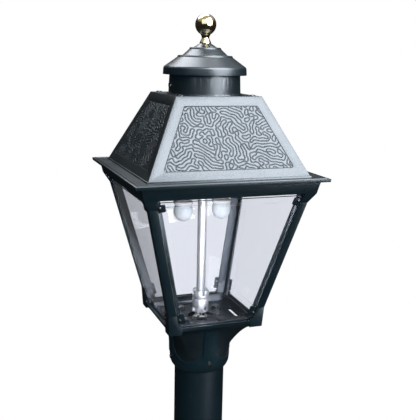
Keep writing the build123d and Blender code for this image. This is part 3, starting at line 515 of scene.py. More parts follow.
def softened(node: str, name: str, width: float, material: Material,
             body: Body = Body.LANTERN) -> Piece:
    """Stand a copy of a CAD node with eased edges in its place.

    Args:
        node: the CAD node.
        name: the new piece's name.
        width: width of the eased edge, mm.
        material: its finish.
        body: the body it rides on.

    Returns:
        The new piece.
    """
    mesh = bpy.data.meshes.new(name)
    shape = welded(node)
    bmesh.ops.dissolve_limit(shape, angle_limit=FLAT, verts=shape.verts, edges=shape.edges)
    shape.to_mesh(mesh)
    shape.free()
    piece = new_object(name, mesh, material)
    mesh.shade_smooth()
    eased = piece.modifiers.new("eased edges", "BEVEL")
    eased.width = width * MM
    eased.segments = 2
    eased.limit_method = "ANGLE"
    eased.angle_limit = EDGE
    eased.use_clamp_overlap = True
    eased.harden_normals = True
    return stand_in(applied(piece), node, body)


def dress(node: str, material: Material) -> None:
    """Give a carried-over CAD node its finish."""
    LOG.info(node)
    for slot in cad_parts[node].material_slots:
        slot.link = "OBJECT"
        slot.material = material


# --- roof
@dataclass
class FrondField:
    """A field of fingers laid out in small crossing fronds, each outlined by a thin groove."""

    seed: int
    cells: int = 512
    size: float = 220.0  # side of the field, mm
    pitch: float = 8.3  # from finger to finger, mm
    groove: float = 1.55  # width of the outline, mm
    step_up: float = 0.3  # share of the relief by which fingers stand above their ground
    frond: float = 25.0  # mean width of a frond, mm
    crowding: float = 1.6  # fronds for each square of that width
    stretch: float = 1.5  # length of a frond over its width
    stem: float = 2.2  # half width of its stem, mm
    lean: float = 48.0  # fingers from the stem, degrees
    wander: float = 1.9  # by which the fronds are bent, mm
    bends: float = 14.0  # size of those bends, mm
    roughness: float = 0.55  # of the noise that breaks up the drawn fingers
    steps: int = 6  # of the pattern's growth
    pace: float = 0.5  # time of one step
    drive: float = 0.9  # strength of the growth
    height: np.ndarray = field(init=False, repr=False)

    def __post_init__(self) -> None:
        """Draw the fronds, then let neighbouring fingers join, part and keep one width."""
        rng = np.random.default_rng(self.seed)
        axis = np.arange(self.cells) * self.size / self.cells
        flat_x, flat_y = np.meshgrid(axis, axis)
        x, y = flat_x + self.drift(rng), flat_y + self.drift(rng)
        count = int(self.crowding * (self.size / self.frond) ** 2)
        nearest, u = np.full(x.shape, np.inf), np.zeros_like(x)
        k, lean = 2 * math.pi / self.pitch, math.radians(self.lean)
        drawn = zip(rng.uniform(0, self.size, count), rng.uniform(0, self.size, count),
                    *rng.uniform(0, 2 * math.pi, (2, count)))
        for mid_x, mid_y, turn, phase in drawn:
            dx = (x - mid_x + self.size / 2) % self.size - self.size / 2
            dy = (y - mid_y + self.size / 2) % self.size - self.size / 2
            along = dx * math.cos(turn) + dy * math.sin(turn)
            across = dy * math.cos(turn) - dx * math.sin(turn)
            distance = (along / self.stretch) ** 2 + across ** 2
            fingers = np.cos(k * (np.abs(across) * math.cos(lean) + along * math.sin(lean)) + phase)
            stem = np.exp(-(across / self.stem) ** 2)
            mine = distance < nearest
            u[mine] = (fingers * (1 - stem) - stem)[mine]
            nearest[mine] = distance[mine]
        u = 0.9 * u + rng.normal(0.0, self.roughness, u.shape)
        wave = 2 * math.pi * np.fft.fftfreq(self.cells, d=self.size / self.cells) / k
        square = wave[:, None] ** 2 + wave[None, :] ** 2
        growth = 1 - self.pace * (self.drive - (1 - square) ** 2)
        for _ in range(self.steps):
            u = np.real(np.fft.ifft2(np.fft.fft2(u - self.pace * u ** 3) / growth))
        down, across = np.gradient(u, self.size / self.cells)
        slope = np.sqrt(down ** 2 + across ** 2) + 0.25 * u.std() / self.groove
        outline = np.exp(-(2.0 * u / (slope * self.groove)) ** 2)
        ground = 1 - self.step_up * (0.5 - 0.5 * np.tanh(2.5 * u / u.std()))
        self.height = ground * (1 - outline)

    def drift(self, rng: np.random.Generator) -> np.ndarray:
        """Return a smooth random shift over the field, mm."""
        rate = np.fft.fftfreq(self.cells, d=self.size / self.cells)
        keep = np.exp(-(rate[:, None] ** 2 + rate[None, :] ** 2) * (self.bends * math.pi) ** 2)
        shift = np.real(np.fft.ifft2(np.fft.fft2(rng.normal(size=(self.cells, self.cells))) * keep))
        return self.wander * shift / shift.std()

    def sample(self, s: np.ndarray, t: np.ndarray) -> np.ndarray:
        """Read the field.

        Args:
            s: distances along the face, mm.
            t: distances up the face, mm.

        Returns:
            The height of the lands there, 0 in a groove and 1 on a land.
        """
        step = self.size / self.cells
        x, y = s / step % self.cells, t / step % self.cells
        x0, y0 = x.astype(int), y.astype(int)
        fx, fy = x - x0, y - y0
        x1, y1 = (x0 + 1) % self.cells, (y0 + 1) % self.cells
        h = self.height
        return ((1 - fx) * (1 - fy) * h[y0, x0] + fx * (1 - fy) * h[y0, x1]
                + (1 - fx) * fy * h[y1, x0] + fx * fy * h[y1, x1])


@dataclass
class Roof:
    """The hipped roof casting with a panel of cast fronds on each face; mm."""

    brim_top: float = 307.0
    base_half: float = 116.2
    top: float = 413.8
    top_half: float = 62.6
    margin: float = 15.6
    panel: tuple[float, float] = (320.0, 401.6)
    recess: float = 0.6  # depth of the recess that the relief fills
    fill: float = 0.97  # share of that depth to which the lands rise
    strip: float = 0.2  # bare strip along the recess's wall
    ramp: float = 1.1  # width over which the relief rises from the strip
    skirt: float = 0.4  # depth of its closed underside below the floor
    cell: float = 0.5  # size of a relief facet, mm
    first_seed: int = 11

    @property
    def pitch(self) -> float:
        """Run of the face for each millimetre of rise."""
        return (self.base_half - self.top_half) / (self.top - self.brim_top)

    def half(self, z: float) -> float:
        """Return the half width of the roof at height z."""
        return self.base_half - (z - self.brim_top) * self.pitch

    def relief(self, side: Side, material: Material) -> Piece:
        """Build one panel's relief as a closed solid that fills the recess.

        Args:
            side: the face it lies on.
            material: its finish.

        Returns:
            The relief.
        """
        low, high = self.panel
        length = (high - low) * math.hypot(1.0, self.pitch)
        foot, head = self.half(low) - self.margin, self.half(high) - self.margin
        rows, columns = int(length / self.cell), int(2 * foot / self.cell)
        v, u = np.meshgrid(np.linspace(0, 1, rows), np.linspace(-1, 1, columns), indexing="ij")
        half = foot + (head - foot) * v
        s, t = u * half, v * length
        fronds = FrondField(self.first_seed + side.value)
        lands = fronds.sample(s + fronds.size / 2, t + fronds.size / 4)
        edge = np.minimum(np.minimum(t, length - t), half - np.abs(s))
        rim = np.clip((edge - self.strip) / self.ramp, 0.0, 1.0)
        land = lands * rim * rim * (3 - 2 * rim)
        depth = self.recess * (self.fill * land - 1.0)
        turn = math.radians(side.value)
        c, sn = math.cos(turn), math.sin(turn)
        normal = Vector((sn, -c, self.pitch)).normalized()
        along = Vector((c, sn, 0.0))
        up = normal.cross(along)
        start = Vector((self.half(low) * sn, -self.half(low) * c, low))
        top = [(start + along * a + up * b + normal * d) * MM
               for a, b, d in zip(s.ravel(), t.ravel(), depth.ravel())]
        rim_line = ([i for i in range(columns)] + [r * columns + columns - 1 for r in range(1, rows)]
                    + [(rows - 1) * columns + i for i in range(columns - 2, -1, -1)]
                    + [r * columns for r in range(rows - 2, 0, -1)])
        under = [top[i] - normal * (self.skirt * MM) for i in rim_line]
        faces = [(r * columns + i, r * columns + i + 1, (r + 1) * columns + i + 1, (r + 1) * columns + i)
                 for r in range(rows - 1) for i in range(columns - 1)]
        first = len(top)
        for k, i in enumerate(rim_line):
            after = (k + 1) % len(rim_line)
            faces.append((i, first + k, first + after, rim_line[after]))
        faces.append(tuple(first + k for k in reversed(range(len(rim_line)))))
        mesh = bpy.data.meshes.new(f"relief_{side.name.lower()}")
        mesh.from_pydata([tuple(p) for p in top + under], [], faces)
        # the land height also goes to the paint, which darkens the grooves' colour with it as painted
        # shade
        carried = mesh.attributes.new("land", "FLOAT", "POINT")
        carried.data.foreach_set("value", np.concatenate([land.ravel(), np.zeros(len(under))]))
        mesh.validate()
        smooth_by_angle(mesh, 60.0)
        piece = new_object(mesh.name, mesh, material)
        LOG.info(piece.name)
        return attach(piece, Body.ROOF.value)

    def build(self, paint: Material, field_paint: Material) -> None:
        """Build the casting and its four reliefs."""
        softened("roof_casting", "roof_cast", 0.7, paint, Body.ROOF)
        for side in Side:
            self.relief(side, field_paint)


@dataclass
class ChimneyTop:
    """The chimney collar, the spun stepped cap and the brass ball finial."""

    cap: tuple[tuple[float, float], ...] = (
        (60.0, 441.0), (59.4, 450.2), (58.3, 452.2), (39.6, 465.4), (38.7, 467.8), (32.3, 468.1),
        (22.9, 476.4), (22.1, 478.8), (16.7, 479.1), (8.4, 484.4), (4.05, 484.4), (4.05, 480.9),
        (10.5, 480.9), (16.2, 477.6), (20.6, 477.3), (21.4, 475.7), (31.8, 466.5), (37.2, 466.3),
        (38.1, 463.7), (57.0, 450.6), (57.9, 449.4), (58.5, 441.0))
    neck: tuple[tuple[float, float], ...] = (
        (0.0, 484.4), (8.4, 484.4), (8.2, 485.8), (6.2, 489.8), (5.3, 491.6), (5.5, 493.6))
    neck_r: float = 7.2  # where the neck meets the ball
    ball_r: float = 15.0
    ball_z: float = 510.4

    def finial(self, brass: Material) -> Piece:
        """Turn the ball and its waisted neck."""
        start = math.asin(self.neck_r / self.ball_r)
        arc = [(self.ball_r * math.sin(a), self.ball_z - self.ball_r * math.cos(a))
               for a in np.linspace(start, math.pi, 40)]
        arc[-1] = (0.0, self.ball_z + self.ball_r)
        outline = rounded(list(self.neck), 0.8, 3, closed=False) + arc
        return lathe("ball_finial", outline, 72, brass)

    def build(self, paint: Material, brass: Material) -> None:
        """Build the cap, collar and finial."""
        cap = lathe("spun_cap", rounded(list(self.cap), 0.9, 4), 120, paint)
        stand_in(cap, "chimney_cap", Body.ROOF)
        stand_in(self.finial(brass), "finial", Body.ROOF)
        softened("chimney_collar", "chimney", 0.4, paint, Body.ROOF)


# --- glazed head
@dataclass
class Head:
    """Post fitter, base tray, corner posts, top frame and the four panes."""

    ease: float = 0.7  # width of the castings' eased edges, mm
    faces: float = 0.9  # cosine to the outside from which a side of the glass is a face

    def pane(self, side: Side, face: Material, rim: Material) -> Piece:
        """Build one pane with clear faces and ground edges.

        Args:
            side: the side that it closes.
            face: the glass of its faces.
            rim: the glass of its edges.

        Returns:
            The pane.
        """
        node = f"glass_{side.name.lower()}"
        name = f"pane_{side.name.lower()}"
        mesh = bpy.data.meshes.new(name)
        shape = welded(node)
        turn = math.radians(side.value)
        outward = Vector((math.sin(turn), -math.cos(turn), 0.0))
        for polygon in shape.faces:
            polygon.material_index = 0 if abs(polygon.normal.dot(outward)) > self.faces else 1
        shape.to_mesh(mesh)
        shape.free()
        return stand_in(new_object(name, mesh, face, rim), node, Body.LANTERN)

    def build(self, cast: Material, smooth_cast: Material,
              fitter_cast: Material, face: Material,
              rim: Material) -> None:
        """Build the castings and the panes."""
        for node, name, paint in (("post_fitter", "fitter_cast", fitter_cast),
                                  ("base_tray", "tray_cast", smooth_cast),
                                  ("top_frame", "band_cast", cast)):
            softened(node, name, self.ease, paint)
        for corner in ("front_left", "front_right", "back_right", "back_left"):
            softened(f"post_{corner}", f"corner_{corner}", self.ease, smooth_cast)
        for side in Side:
            self.pane(side, face, rim)


# --- burner
@dataclass
class Burner:
    """Two inverted mantles under a tee on a riser tube; mm."""

    mantle_x: float = 30.0
    top: float = 253.0
    bottom: float = 228.5
    radius: float = 14.0
    wall: float = 0.7
    pleats: int = 18
    gather: float = 0.028  # half the share of the radius that a pleat draws in

    def mantle(self, name: str, x: float, knit: Material) -> Piece:
        """Build one mantle, gathered into pleats at its ring.

        Args:
            name: left or right.
            x: its axis, mm.
            knit: its finish.

        Returns:
            The mantle.
        """
        mid = self.bottom + self.radius
        outer: Profile = [(self.radius * math.sin(a), mid - self.radius * math.cos(a))
                          for a in np.linspace(0, math.pi / 2, 14)]
        outer[0] = (0.0, self.bottom)
        outer += [(self.radius, mid + 2.2), (self.radius, mid + 4.4), (self.radius - 0.1, self.top - 4),
                  (12.9, self.top - 2.6), (12.0, self.top - 1.2), (11.6, self.top)]
        inner = [(max(r - self.wall, 0.0), z + (self.wall if r < self.radius - 0.2 and z < mid else 0.0))
                 for r, z in outer]
        inner[0] = (0.0, self.bottom + self.wall)
        piece = lathe(f"mantle_knit_{name}", outer + inner[::-1], 90, knit, centre=x)
        for vertex in piece.data.vertices:
            height = min(max((vertex.co.z / MM - (mid + 1.0)) / (self.top - mid - 1.0), 0.0), 1.0)
            across = Vector((vertex.co.x - x * MM, vertex.co.y))
            if height > 0.0 and across.length > TINY:
                wave = math.cos(self.pleats * math.atan2(across.y, across.x))
                shrink = 1.0 - self.gather * height * (1.0 - wave)
                vertex.co.x = x * MM + across.x * shrink
                vertex.co.y = across.y * shrink
        return stand_in(piece, f"mantle_{name}", Body.LANTERN)

    def build(self, finishes: dict[str, Material]) -> None:
        """Build the mantles and dress the gas train."""
        ceramic, tube, brass = (finishes[name] for name in ("ceramic", "tube", "gas_brass"))
        for name, x in (("left", -self.mantle_x), ("right", self.mantle_x)):
            self.mantle(name, x, finishes[f"knit_{name}"])
            softened(f"nozzle_{name}", f"nozzle_fired_{name}", 0.3, ceramic)
            softened(f"mantle_collar_{name}", f"collar_fired_{name}", 0.4, ceramic)
        for node in ("riser_tube", "mixer_body", "tube_holder", "supply_pipe", "burner_tee"):
            softened(node, f"{node}_drawn", 0.3, tube)
        softened("air_shutter", "shutter_sleeve", 0.25, tube, Body.SHUTTER)
        for node in ("inlet_fitting", "locknuts"):
            softened(node, f"{node}_brass", 0.3, brass)
        for node in ("orifice", "gas_cock", "cock_key"):
            dress(node, brass)
        softened("burner_bracket", "bracket_strap", 0.3, finishes["sheet"])


# --- fasteners
class Drive(Enum):
    """What a screw's head is turned by."""

    SLOT = "slot"
    SOCKET = "hexagon socket"
    HEXAGON = "hexagon head"


@dataclass(frozen=True)
class Seat:
    """Where a fastener sits: the middle of its head's underside and the way the head faces."""

    place: Vector
    facing: Vector
    shank: float  # length below the head, m


@dataclass(frozen=True)
class Fastener:
    """One kind of screw; sizes in mm."""

    node: str
    name: str
    body: Body
    drive: Drive
    head_r: float  # half across the flats of a hexagon head
    head_h: float
    dome: float
    shank_r: float
    key: tuple[float, float]  # width and depth of the slot or socket


def loose_parts(shape: bmesh.types.BMesh) -> list[list[bmesh.types.BMFace]]:
    """Return the faces of each separate solid in a shape."""
    parts, seen = [], set()
    for start in shape.faces:
        if start in seen:
            continue
        seen.add(start)
        part, queue = [], [start]
        while queue:
            face = queue.pop()
            part.append(face)
            for edge in face.edges:
                for other in edge.link_faces:
                    if other not in seen:
                        seen.add(other)
                        queue.append(other)
        parts.append(part)
    return parts


WIDEST = 0.97  # share of a screw's radius beyond which lies its widest part
EVEN = 0.05  # share of its length within which that part counts as in the middle


def seats(kind: Fastener) -> list[Seat]:
    """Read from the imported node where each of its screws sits.

    Args:
        kind: the screws' kind.

    Returns:
        One seat for each screw.
    """
    shape = welded(kind.node)
    found = []
    for part in loose_parts(shape):
        spread = sum(face.calc_area() * np.outer(face.normal, face.normal) for face in part)
        values, vectors = np.linalg.eigh(spread)
        odd = 0 if values[1] - values[0] > values[2] - values[1] else 2
        axis = vectors[:, odd]
        points = np.array([vertex.co for vertex in {v for face in part for v in face.verts}])
        middle = points.mean(axis=0)
        along = (points - middle) @ axis
        radius = np.linalg.norm(points - middle - np.outer(along, axis), axis=1)
        wide = along[radius > WIDEST * radius.max()].mean() - 0.5 * (along.min() + along.max())
        if abs(wide) < EVEN * (along.max() - along.min()):
            wide = float(axis[:2] @ middle[:2])
        if wide < 0:
            axis, along = -axis, -along
        place = middle + axis * (along.max() - kind.head_h * MM)
        shank = along.max() - along.min() - kind.head_h * MM
        found.append(Seat(Vector(place), Vector(axis), shank))
    shape.free()
    return sorted(found, key=lambda seat: tuple(round(c, 5) for c in seat.place))


class ScrewTree(Tree):
    """Geometry nodes that stand a screw on each seat point, with its sizes as inputs."""

    LENGTHS = ("Head Radius", "Head Height", "Dome", "Shank Radius", "Shank Length", "Key Width",
               "Key Depth")

    def __init__(self, drive: Drive) -> None:
        """Build the tree for one kind of drive."""
        self.group = bpy.data.node_groups.new(f"screws with {drive.value}", "GeometryNodeTree")
        super().__init__(self.group)
        face = self.group.interface
        face.new_socket("Seats", in_out="INPUT", socket_type="NodeSocketGeometry")
        for name in self.LENGTHS:
            face.new_socket(name, in_out="INPUT", socket_type="NodeSocketFloat")
        face.new_socket("Finish", in_out="INPUT", socket_type="NodeSocketMaterial")
        face.new_socket("Screws", in_out="OUTPUT", socket_type="NodeSocketGeometry")
        self.inlet = self.node("NodeGroupInput")
        screw = self.joined(self.head(drive), self.shank())
        self.node("NodeGroupOutput", {}, {0: self.stood(screw)})

    def size(self, name: str) -> Value:
        """Return one of the tree's named lengths."""
        return Value(self, self.inlet.outputs[name])

    def vector(self, x: "Value | float", y: "Value | float", z: "Value | float") -> Socket:
        """Return a vector of three numbers."""
        return self.node("ShaderNodeCombineXYZ", {}, {0: x, 1: y, 2: z}).outputs[0]

    def moved(self, mesh: Socket, z: Value) -> Socket:
        """Return a mesh lifted by z."""
        return self.node("GeometryNodeTransform", {}, {
            "Geometry": mesh, "Translation": self.vector(0.0, 0.0, z)}).outputs[0]

    def joined(self, first: Socket, second: Socket) -> Socket:
        """Return two meshes as one."""
        join = self.node("GeometryNodeJoinGeometry")
        for mesh in (second, first):
            self.tree.links.new(mesh, join.inputs[0])
        return join.outputs[0]

    def barrel(self, sides: int, rings: int, radius: Value, height: Value) -> Socket:
        """Return a prism that stands on the seat, with rings of faces across its ends."""
        prism = self.node("GeometryNodeMeshCylinder", {}, {
            "Vertices": sides, "Side Segments": 1, "Fill Segments": rings, "Radius": radius,
            "Depth": height})
        return self.moved(prism.outputs["Mesh"], height * 0.5)

    def head(self, drive: Drive) -> Socket:
        """Return a head with its slot or socket, or a chamfered hexagon.

        Args:
            drive: what the head is turned by.

        Returns:
            The head's mesh, its underside at the origin.
        """
        radius, height, dome = (self.size(name) for name in self.LENGTHS[:3])
        if drive is Drive.HEXAGON:
            body = self.barrel(6, 1, radius * (2 / math.sqrt(3)), height)
            # a cone of about 28 degrees that cuts the corners and passes both ends of the head
            cone = self.node("GeometryNodeMeshCone", {}, {
                "Vertices": 48, "Radius Bottom": radius * 0.97 + height * 2.375,
                "Radius Top": radius * 0.97 - height * 0.475, "Depth": height * 1.5})
            chamfered = self.node("GeometryNodeMeshBoolean", {"operation": "INTERSECT"}, {1: body})
            self.tree.links.new(self.moved(cone.outputs["Mesh"], height * -0.25), chamfered.inputs[1])
            return chamfered.outputs[0]
        body = self.barrel(32, 5, radius, height - dome)
        x, y, z = self.parts(self.node("GeometryNodeInputPosition").outputs[0])
        crown = (1 - (x * x + y * y) / (radius * radius)) * dome * (z > (height - dome) * 0.5)
        domed = self.node("GeometryNodeSetPosition", {}, {
            "Geometry": body, "Offset": self.vector(0.0, 0.0, crown)}).outputs[0]
        width, depth = self.size("Key Width"), self.size("Key Depth")
        if drive is Drive.SOCKET:
            cutter = self.moved(self.barrel(6, 1, width, depth * 2), height - depth)
        else:
            block = self.node("GeometryNodeMeshCube", {},
                              {"Size": self.vector(width, radius * 3, depth * 2)})
            cutter = self.moved(block.outputs["Mesh"], height)
        return self.node("GeometryNodeMeshBoolean", {"operation": "DIFFERENCE"},
                         {0: domed, 1: cutter}).outputs[0]

    def shank(self) -> Socket:
        """Return the shank below the head."""
        length = self.size("Shank Length")
        return self.moved(self.barrel(20, 1, self.size("Shank Radius"), length), length * -1.0)

    def stood(self, screw: Socket) -> Socket:
        """Stand a screw on every seat, turned as the seat says.

        Args:
            screw: the screw's mesh.

        Returns:
            All the screws as plain geometry.
        """
        facing = self.node("GeometryNodeInputNamedAttribute", {"data_type": "FLOAT_VECTOR"},
                           {"Name": "facing"})
        spin = self.node("GeometryNodeInputNamedAttribute", {"data_type": "FLOAT"}, {"Name": "spin"})
        upright = self.node("FunctionNodeAlignRotationToVector", {"axis": "Z"},
                            {"Vector": facing.outputs[0]})
        about = self.node("FunctionNodeAxisAngleToRotation", {},
                          {"Axis": (0.0, 0.0, 1.0), "Angle": spin.outputs[0]})
        turned = self.node("FunctionNodeRotateRotation", {"rotation_space": "LOCAL"},
                           {0: upright.outputs[0], 1: about.outputs[0]})
        stood = self.node("GeometryNodeInstanceOnPoints", {}, {
            "Points": self.inlet.outputs["Seats"], "Instance": screw, "Rotation": turned.outputs[0]})
        real = self.node("GeometryNodeRealizeInstances", {}, {0: stood.outputs[0]})
        return self.node("GeometryNodeSetMaterial", {}, {
            "Geometry": real.outputs[0], "Material": self.inlet.outputs["Finish"]}).outputs[0]


@dataclass
class Fasteners:
    """All the screws and bolts, each kind stood on its seats by its geometry nodes."""

    seed: int = 5
    kinds: tuple[Fastener, ...] = (
        Fastener("clip_screws", "clip_pan_screws", Body.LANTERN, Drive.SLOT,
                 2.6, 1.6, 0.7, 1.5, (0.6, 0.7)),
        Fastener("chimney_screws", "collar_pan_screws", Body.ROOF, Drive.SLOT, 4.0, 2.2, 1.0, 2.0,
                 (0.9, 1.0)),
        Fastener("bridge_screws", "bridge_pan_screws", Body.ROOF, Drive.SLOT, 4.2, 2.4, 1.1, 2.5,
                 (1.0, 1.1)),
        Fastener("bracket_screws", "bracket_pan_screws", Body.LANTERN, Drive.SLOT, 4.4, 2.4, 1.1, 2.5,
                 (1.0, 1.1)),
        Fastener("post_foot_screws", "foot_screws", Body.LANTERN, Drive.SOCKET, 3.6, 2.4, 0.3, 2.0,
                 (1.6, 1.3)),
        Fastener("post_head_screws", "head_screws", Body.LANTERN, Drive.SOCKET, 3.6, 2.4, 0.3, 2.0,
                 (1.6, 1.3)),
        Fastener("set_screws", "grub_screws", Body.LANTERN, Drive.SOCKET,
                 3.0, 3.6, 0.2, 2.98, (1.6, 2.6)),
        Fastener("fitter_bolts", "tray_bolts", Body.LANTERN, Drive.HEXAGON,
                 6.5, 4.5, 0.0, 4.0, (0.0, 0.0)))

    def stand(self, kind: Fastener, tree: ScrewTree, finish: Material,
              rng: np.random.Generator) -> Piece:
        """Make one kind's screws a plain mesh on their seats.

        Args:
            kind: the screws' kind.
            tree: the geometry nodes for its drive.
            finish: its material.
            rng: source of each screw's spin.

        Returns:
            The screws.
        """
        found = seats(kind)
        mesh = bpy.data.meshes.new(kind.name)
        mesh.from_pydata([seat.place for seat in found], [], [])
        facing = mesh.attributes.new("facing", "FLOAT_VECTOR", "POINT")
        facing.data.foreach_set("vector", [c for seat in found for c in seat.facing])
        spin = mesh.attributes.new("spin", "FLOAT", "POINT")
        spin.data.foreach_set("value", rng.uniform(0.0, math.pi, len(found)))
        piece = new_object(kind.name, mesh)
        nodes = piece.modifiers.new("screws", "NODES")
        nodes.node_group = tree.group
        sizes = (kind.head_r, kind.head_h, kind.dome, kind.shank_r, found[0].shank / MM, *kind.key)
        for name, length in zip(ScrewTree.LENGTHS, sizes):
            nodes[tree.group.interface.items_tree[name].identifier] = length * MM
        nodes[tree.group.interface.items_tree["Finish"].identifier] = finish
        applied(piece)
        smooth_by_angle(piece.data)
        return stand_in(piece, kind.node, kind.body)

    def build(self, finish: Material) -> None:
        """Stand every kind of screw."""
        rng = np.random.default_rng(self.seed)
        trees = {drive: ScrewTree(drive) for drive in Drive}
        for kind in self.kinds:
            self.stand(kind, trees[kind.drive], finish, rng)


# --- studio
@dataclass(frozen=True)
class Softbox:
    """A rectangular soft lamp; metres."""

    name: str
    place: Point
    target: Point  # what it looks at
    size: tuple[float, float]
    radiance: float  # brightness of its face
    shines: bool = True  # whether glossy surfaces mirror it

    def hang(self) -> None:
        """Add the lamp to the scene."""
        lamp = bpy.data.lights.new(self.name, "AREA")
        lamp.shape = "RECTANGLE"
        lamp.size, lamp.size_y = self.size
        lamp.energy = self.radiance * self.size[0] * self.size[1] * math.pi
        holder = bpy.data.objects.new(self.name, lamp)
        bpy.context.scene.collection.objects.link(holder)
        holder.location = self.place
        away = Vector(self.place) - Vector(self.target)
        holder.rotation_euler = away.to_track_quat("Z", "Y").to_euler()
        holder.visible_glossy = self.shines


@dataclass(frozen=True)
class Viewpoint:
    """The camera of the photograph, solved from the lantern's square edges."""

    place: Point = (-0.356, -0.9829, 0.4695)  # m
    turns: Point = (20.39, 12.22, 1.23)  # yaw, pitch and roll, degrees
    focal: float = 718.7  # pixels of the photograph
    height: float = 420.0  # of the photograph, pixels
    sensor: float = 36.0  # mm
    near: float = 0.05  # m

    def build(self) -> None:
        """Stand the camera where the photograph was taken."""
        yaw, pitch, roll = (math.radians(a) for a in self.turns)
        ahead = Vector((math.sin(yaw) * math.cos(pitch), math.cos(yaw) * math.cos(pitch),
                        -math.sin(pitch)))
        level = Vector((math.cos(yaw), -math.sin(yaw), 0.0))
        above = level.cross(ahead)
        across = level * math.cos(roll) + above * math.sin(roll)
        upward = above * math.cos(roll) - level * math.sin(roll)
        lens = bpy.data.cameras.new("viewpoint")
        lens.sensor_width = self.sensor
        lens.lens = self.focal / self.height * self.sensor
        lens.clip_start = self.near
        camera = bpy.data.objects.new("viewpoint", lens)
        bpy.context.scene.collection.objects.link(camera)
        camera.matrix_world = Matrix.Translation(self.place) @ Matrix(
            (across, upward, -ahead)).transposed().to_4x4()
        bpy.context.scene.camera = camera


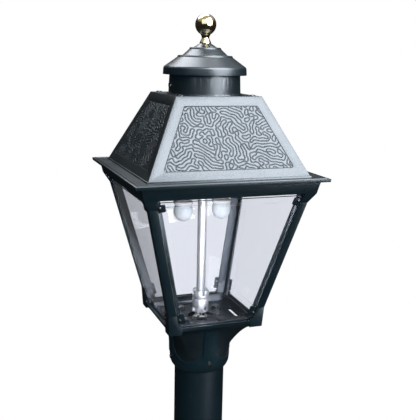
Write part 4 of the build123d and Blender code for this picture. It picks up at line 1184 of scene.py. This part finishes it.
@dataclass
class Studio:
    """White floor and background, the post that carries the lantern, and soft lamps."""

    floor_z: float = -1.6  # m
    floor_half: int = 9  # m
    floor_colour: tuple[float, ...] = (0.035, 0.036, 0.038, 1.0)  # as the object sees it
    white: tuple[float, ...] = (1.0, 1.0, 1.0, 1.0)
    sky_light: float = 0.4  # brightness of the sky overhead
    sky_shine: float = 0.02  # and of the dark walls of the studio
    sky_edge: float = 0.34  # height on the unit sphere at which the walls end
    sky_blend: float = 4.0  # steepness of that edge
    veil: float = 0.8  # share of the background kept from glass that a mirror shows
    post_r: float = 38.1  # mm
    post_top: float = 48.9  # mm
    lamps: tuple[Softbox, ...] = (
        Softbox("key", (0.33, -0.68, 0.92), (0.0, -0.09, 0.36), (0.95, 1.10), 8.6),
        Softbox("low", (1.20, -2.6, 0.20), (0.0, 0.0, 0.4), (1.4, 0.3), 10.5),
        Softbox("top", (-0.04, 0.44, 1.12), (0.0, 0.0, 0.45), (0.8, 0.55), 6.5),
        Softbox("left", (-0.60, -0.85, 1.10), (0.0, 0.0, 0.45), (1.2, 1.0), 1.2),
        Softbox("fill", (-0.5, -1.7, 0.05), (0.0, 0.0, 0.25), (1.5, 1.5), 7.0, shines=False))

    def background(self, tree: Tree) -> Value:
        """Return 1 on the rays that show the white background, else 0."""
        path = tree.node("ShaderNodeLightPath")
        mirrored = Value(tree, path.outputs["Glossy Depth"]) > 0.5
        through = Value(tree, path.outputs["Is Transmission Ray"]) * (1 - mirrored * self.veil)
        return (Value(tree, path.outputs["Is Camera Ray"]) + through).clamped()

    def floor(self) -> None:
        """Lay the floor, dark to the object and white to the camera."""
        mesh = bpy.data.meshes.new("studio_floor")
        far, low = self.floor_half, self.floor_z
        mesh.from_pydata([(-far, -far, low), (far, -far, low), (far, far, low), (-far, far, low)],
                         [], [(0, 1, 2, 3)])
        tree = Shader("pale_floor")
        paper = tree.node("ShaderNodeBsdfDiffuse", {}, {"Color": self.floor_colour})
        white = tree.node("ShaderNodeEmission", {}, {"Color": self.white, "Strength": 1.0})
        mix = tree.node("ShaderNodeMixShader", {}, {0: self.background(tree), 1: paper.outputs[0],
                                                    2: white.outputs[0]})
        new_object("studio_floor", mesh, tree.finish(mix.outputs[0]))

    def post(self, paint: Material) -> None:
        """Stand the round post that the fitter drops over."""
        low = self.floor_z / MM
        outline = [(0.0, low), (self.post_r, low), (self.post_r, self.post_top), (0.0, self.post_top)]
        lathe("studio_post", rounded(outline, 0.8, 3), 96, paint)

    def sky(self) -> None:
        """Set dark walls and a lit sky overhead, which the camera and the glass see as white."""
        world = bpy.data.worlds.new("studio_sky")
        bpy.context.scene.world = world
        world.use_nodes = True
        tree = Tree(world.node_tree)
        toward = tree.node("ShaderNodeTexCoord").outputs["Generated"]
        overhead = ((tree.parts(toward)[2] - self.sky_edge) * self.sky_blend).clamped()
        lamp = overhead * (self.sky_light - self.sky_shine) + self.sky_shine
        strength = self.background(tree) * (1.0 - lamp) + lamp
        sky = tree.node("ShaderNodeBackground", {}, {"Color": self.white, "Strength": strength})
        tree.node("ShaderNodeOutputWorld", {}, {"Surface": sky.outputs[0]})

    def build(self, paint: Material) -> None:
        """Set the whole studio."""
        Viewpoint().build()
        self.floor()
        self.post(paint)
        self.sky()
        for lamp in self.lamps:
            lamp.hang()
        bpy.context.scene.view_settings.view_transform = "Standard"


def main() -> None:
    """Dress the lantern and set the studio."""
    logging.basicConfig(level=logging.INFO, format="%(name)s: %(message)s")
    cast = SatinPaint("black_sand_cast", grain=0.20, grain_size=1.9, gloss=0.36).build()
    fronds = SatinPaint("black_frond_cast", grain=0.13, grain_size=1.9, gloss=0.36, grooved=True).build()
    smooth_cast = SatinPaint("black_smooth_cast", grain=0.025, gloss=0.34).build()
    fitter_cast = SatinPaint("black_shield_cast", grain=0.03, gloss=0.34, shields=Shields()).build()
    sheet = SatinPaint("black_spun_sheet", grain=0.02, grain_size=0.9, gloss=0.35).build()
    brass = PolishedBrass("polished_brass").build()
    face = ClearGlass("clear_glass").build()
    rim = ClearGlass("ground_edge", tint=(0.45, 0.75, 0.74), gloss=0.35).build()
    screw = BareMetal("blackened_steel", (0.26, 0.27, 0.28), (0.09, 0.10, 0.11), gloss=0.30).build()
    finishes = {
        "sheet": sheet,
        "tube": BareMetal("drawn_alloy", (0.95, 0.955, 0.96), (0.86, 0.87, 0.89), gloss=0.48).build(),
        "gas_brass": BareMetal("nickelled_brass", (0.66, 0.66, 0.65), (0.48, 0.48, 0.47)).build(),
        "ceramic": FiredCeramic("fired_ceramic").build(),
        "knit_left": KnitCeramic("knit_left", -30.0).build(),
        "knit_right": KnitCeramic("knit_right", 30.0).build()}
    Studio().build(smooth_cast)
    Roof().build(cast, fronds)
    ChimneyTop().build(sheet, brass)
    Head().build(cast, smooth_cast, fitter_cast, face, rim)
    Burner().build(finishes)
    Fasteners().build(screw)
    for side in Side:
        name = side.name.lower()
        softened(f"clips_{name}", f"pane_clips_{name}", 0.3, sheet)
    softened("cap_bridge", "bridge_strap", 0.4, sheet, Body.ROOF)
    softened("hinge_pins", "hinge_rivets", 0.3, screw)
    for node in ("tie_rod", "tie_nuts"):
        softened(node, f"{node}_plated", 0.3, screw, Body.ROOF)


if __name__ == "__main__":
    main()
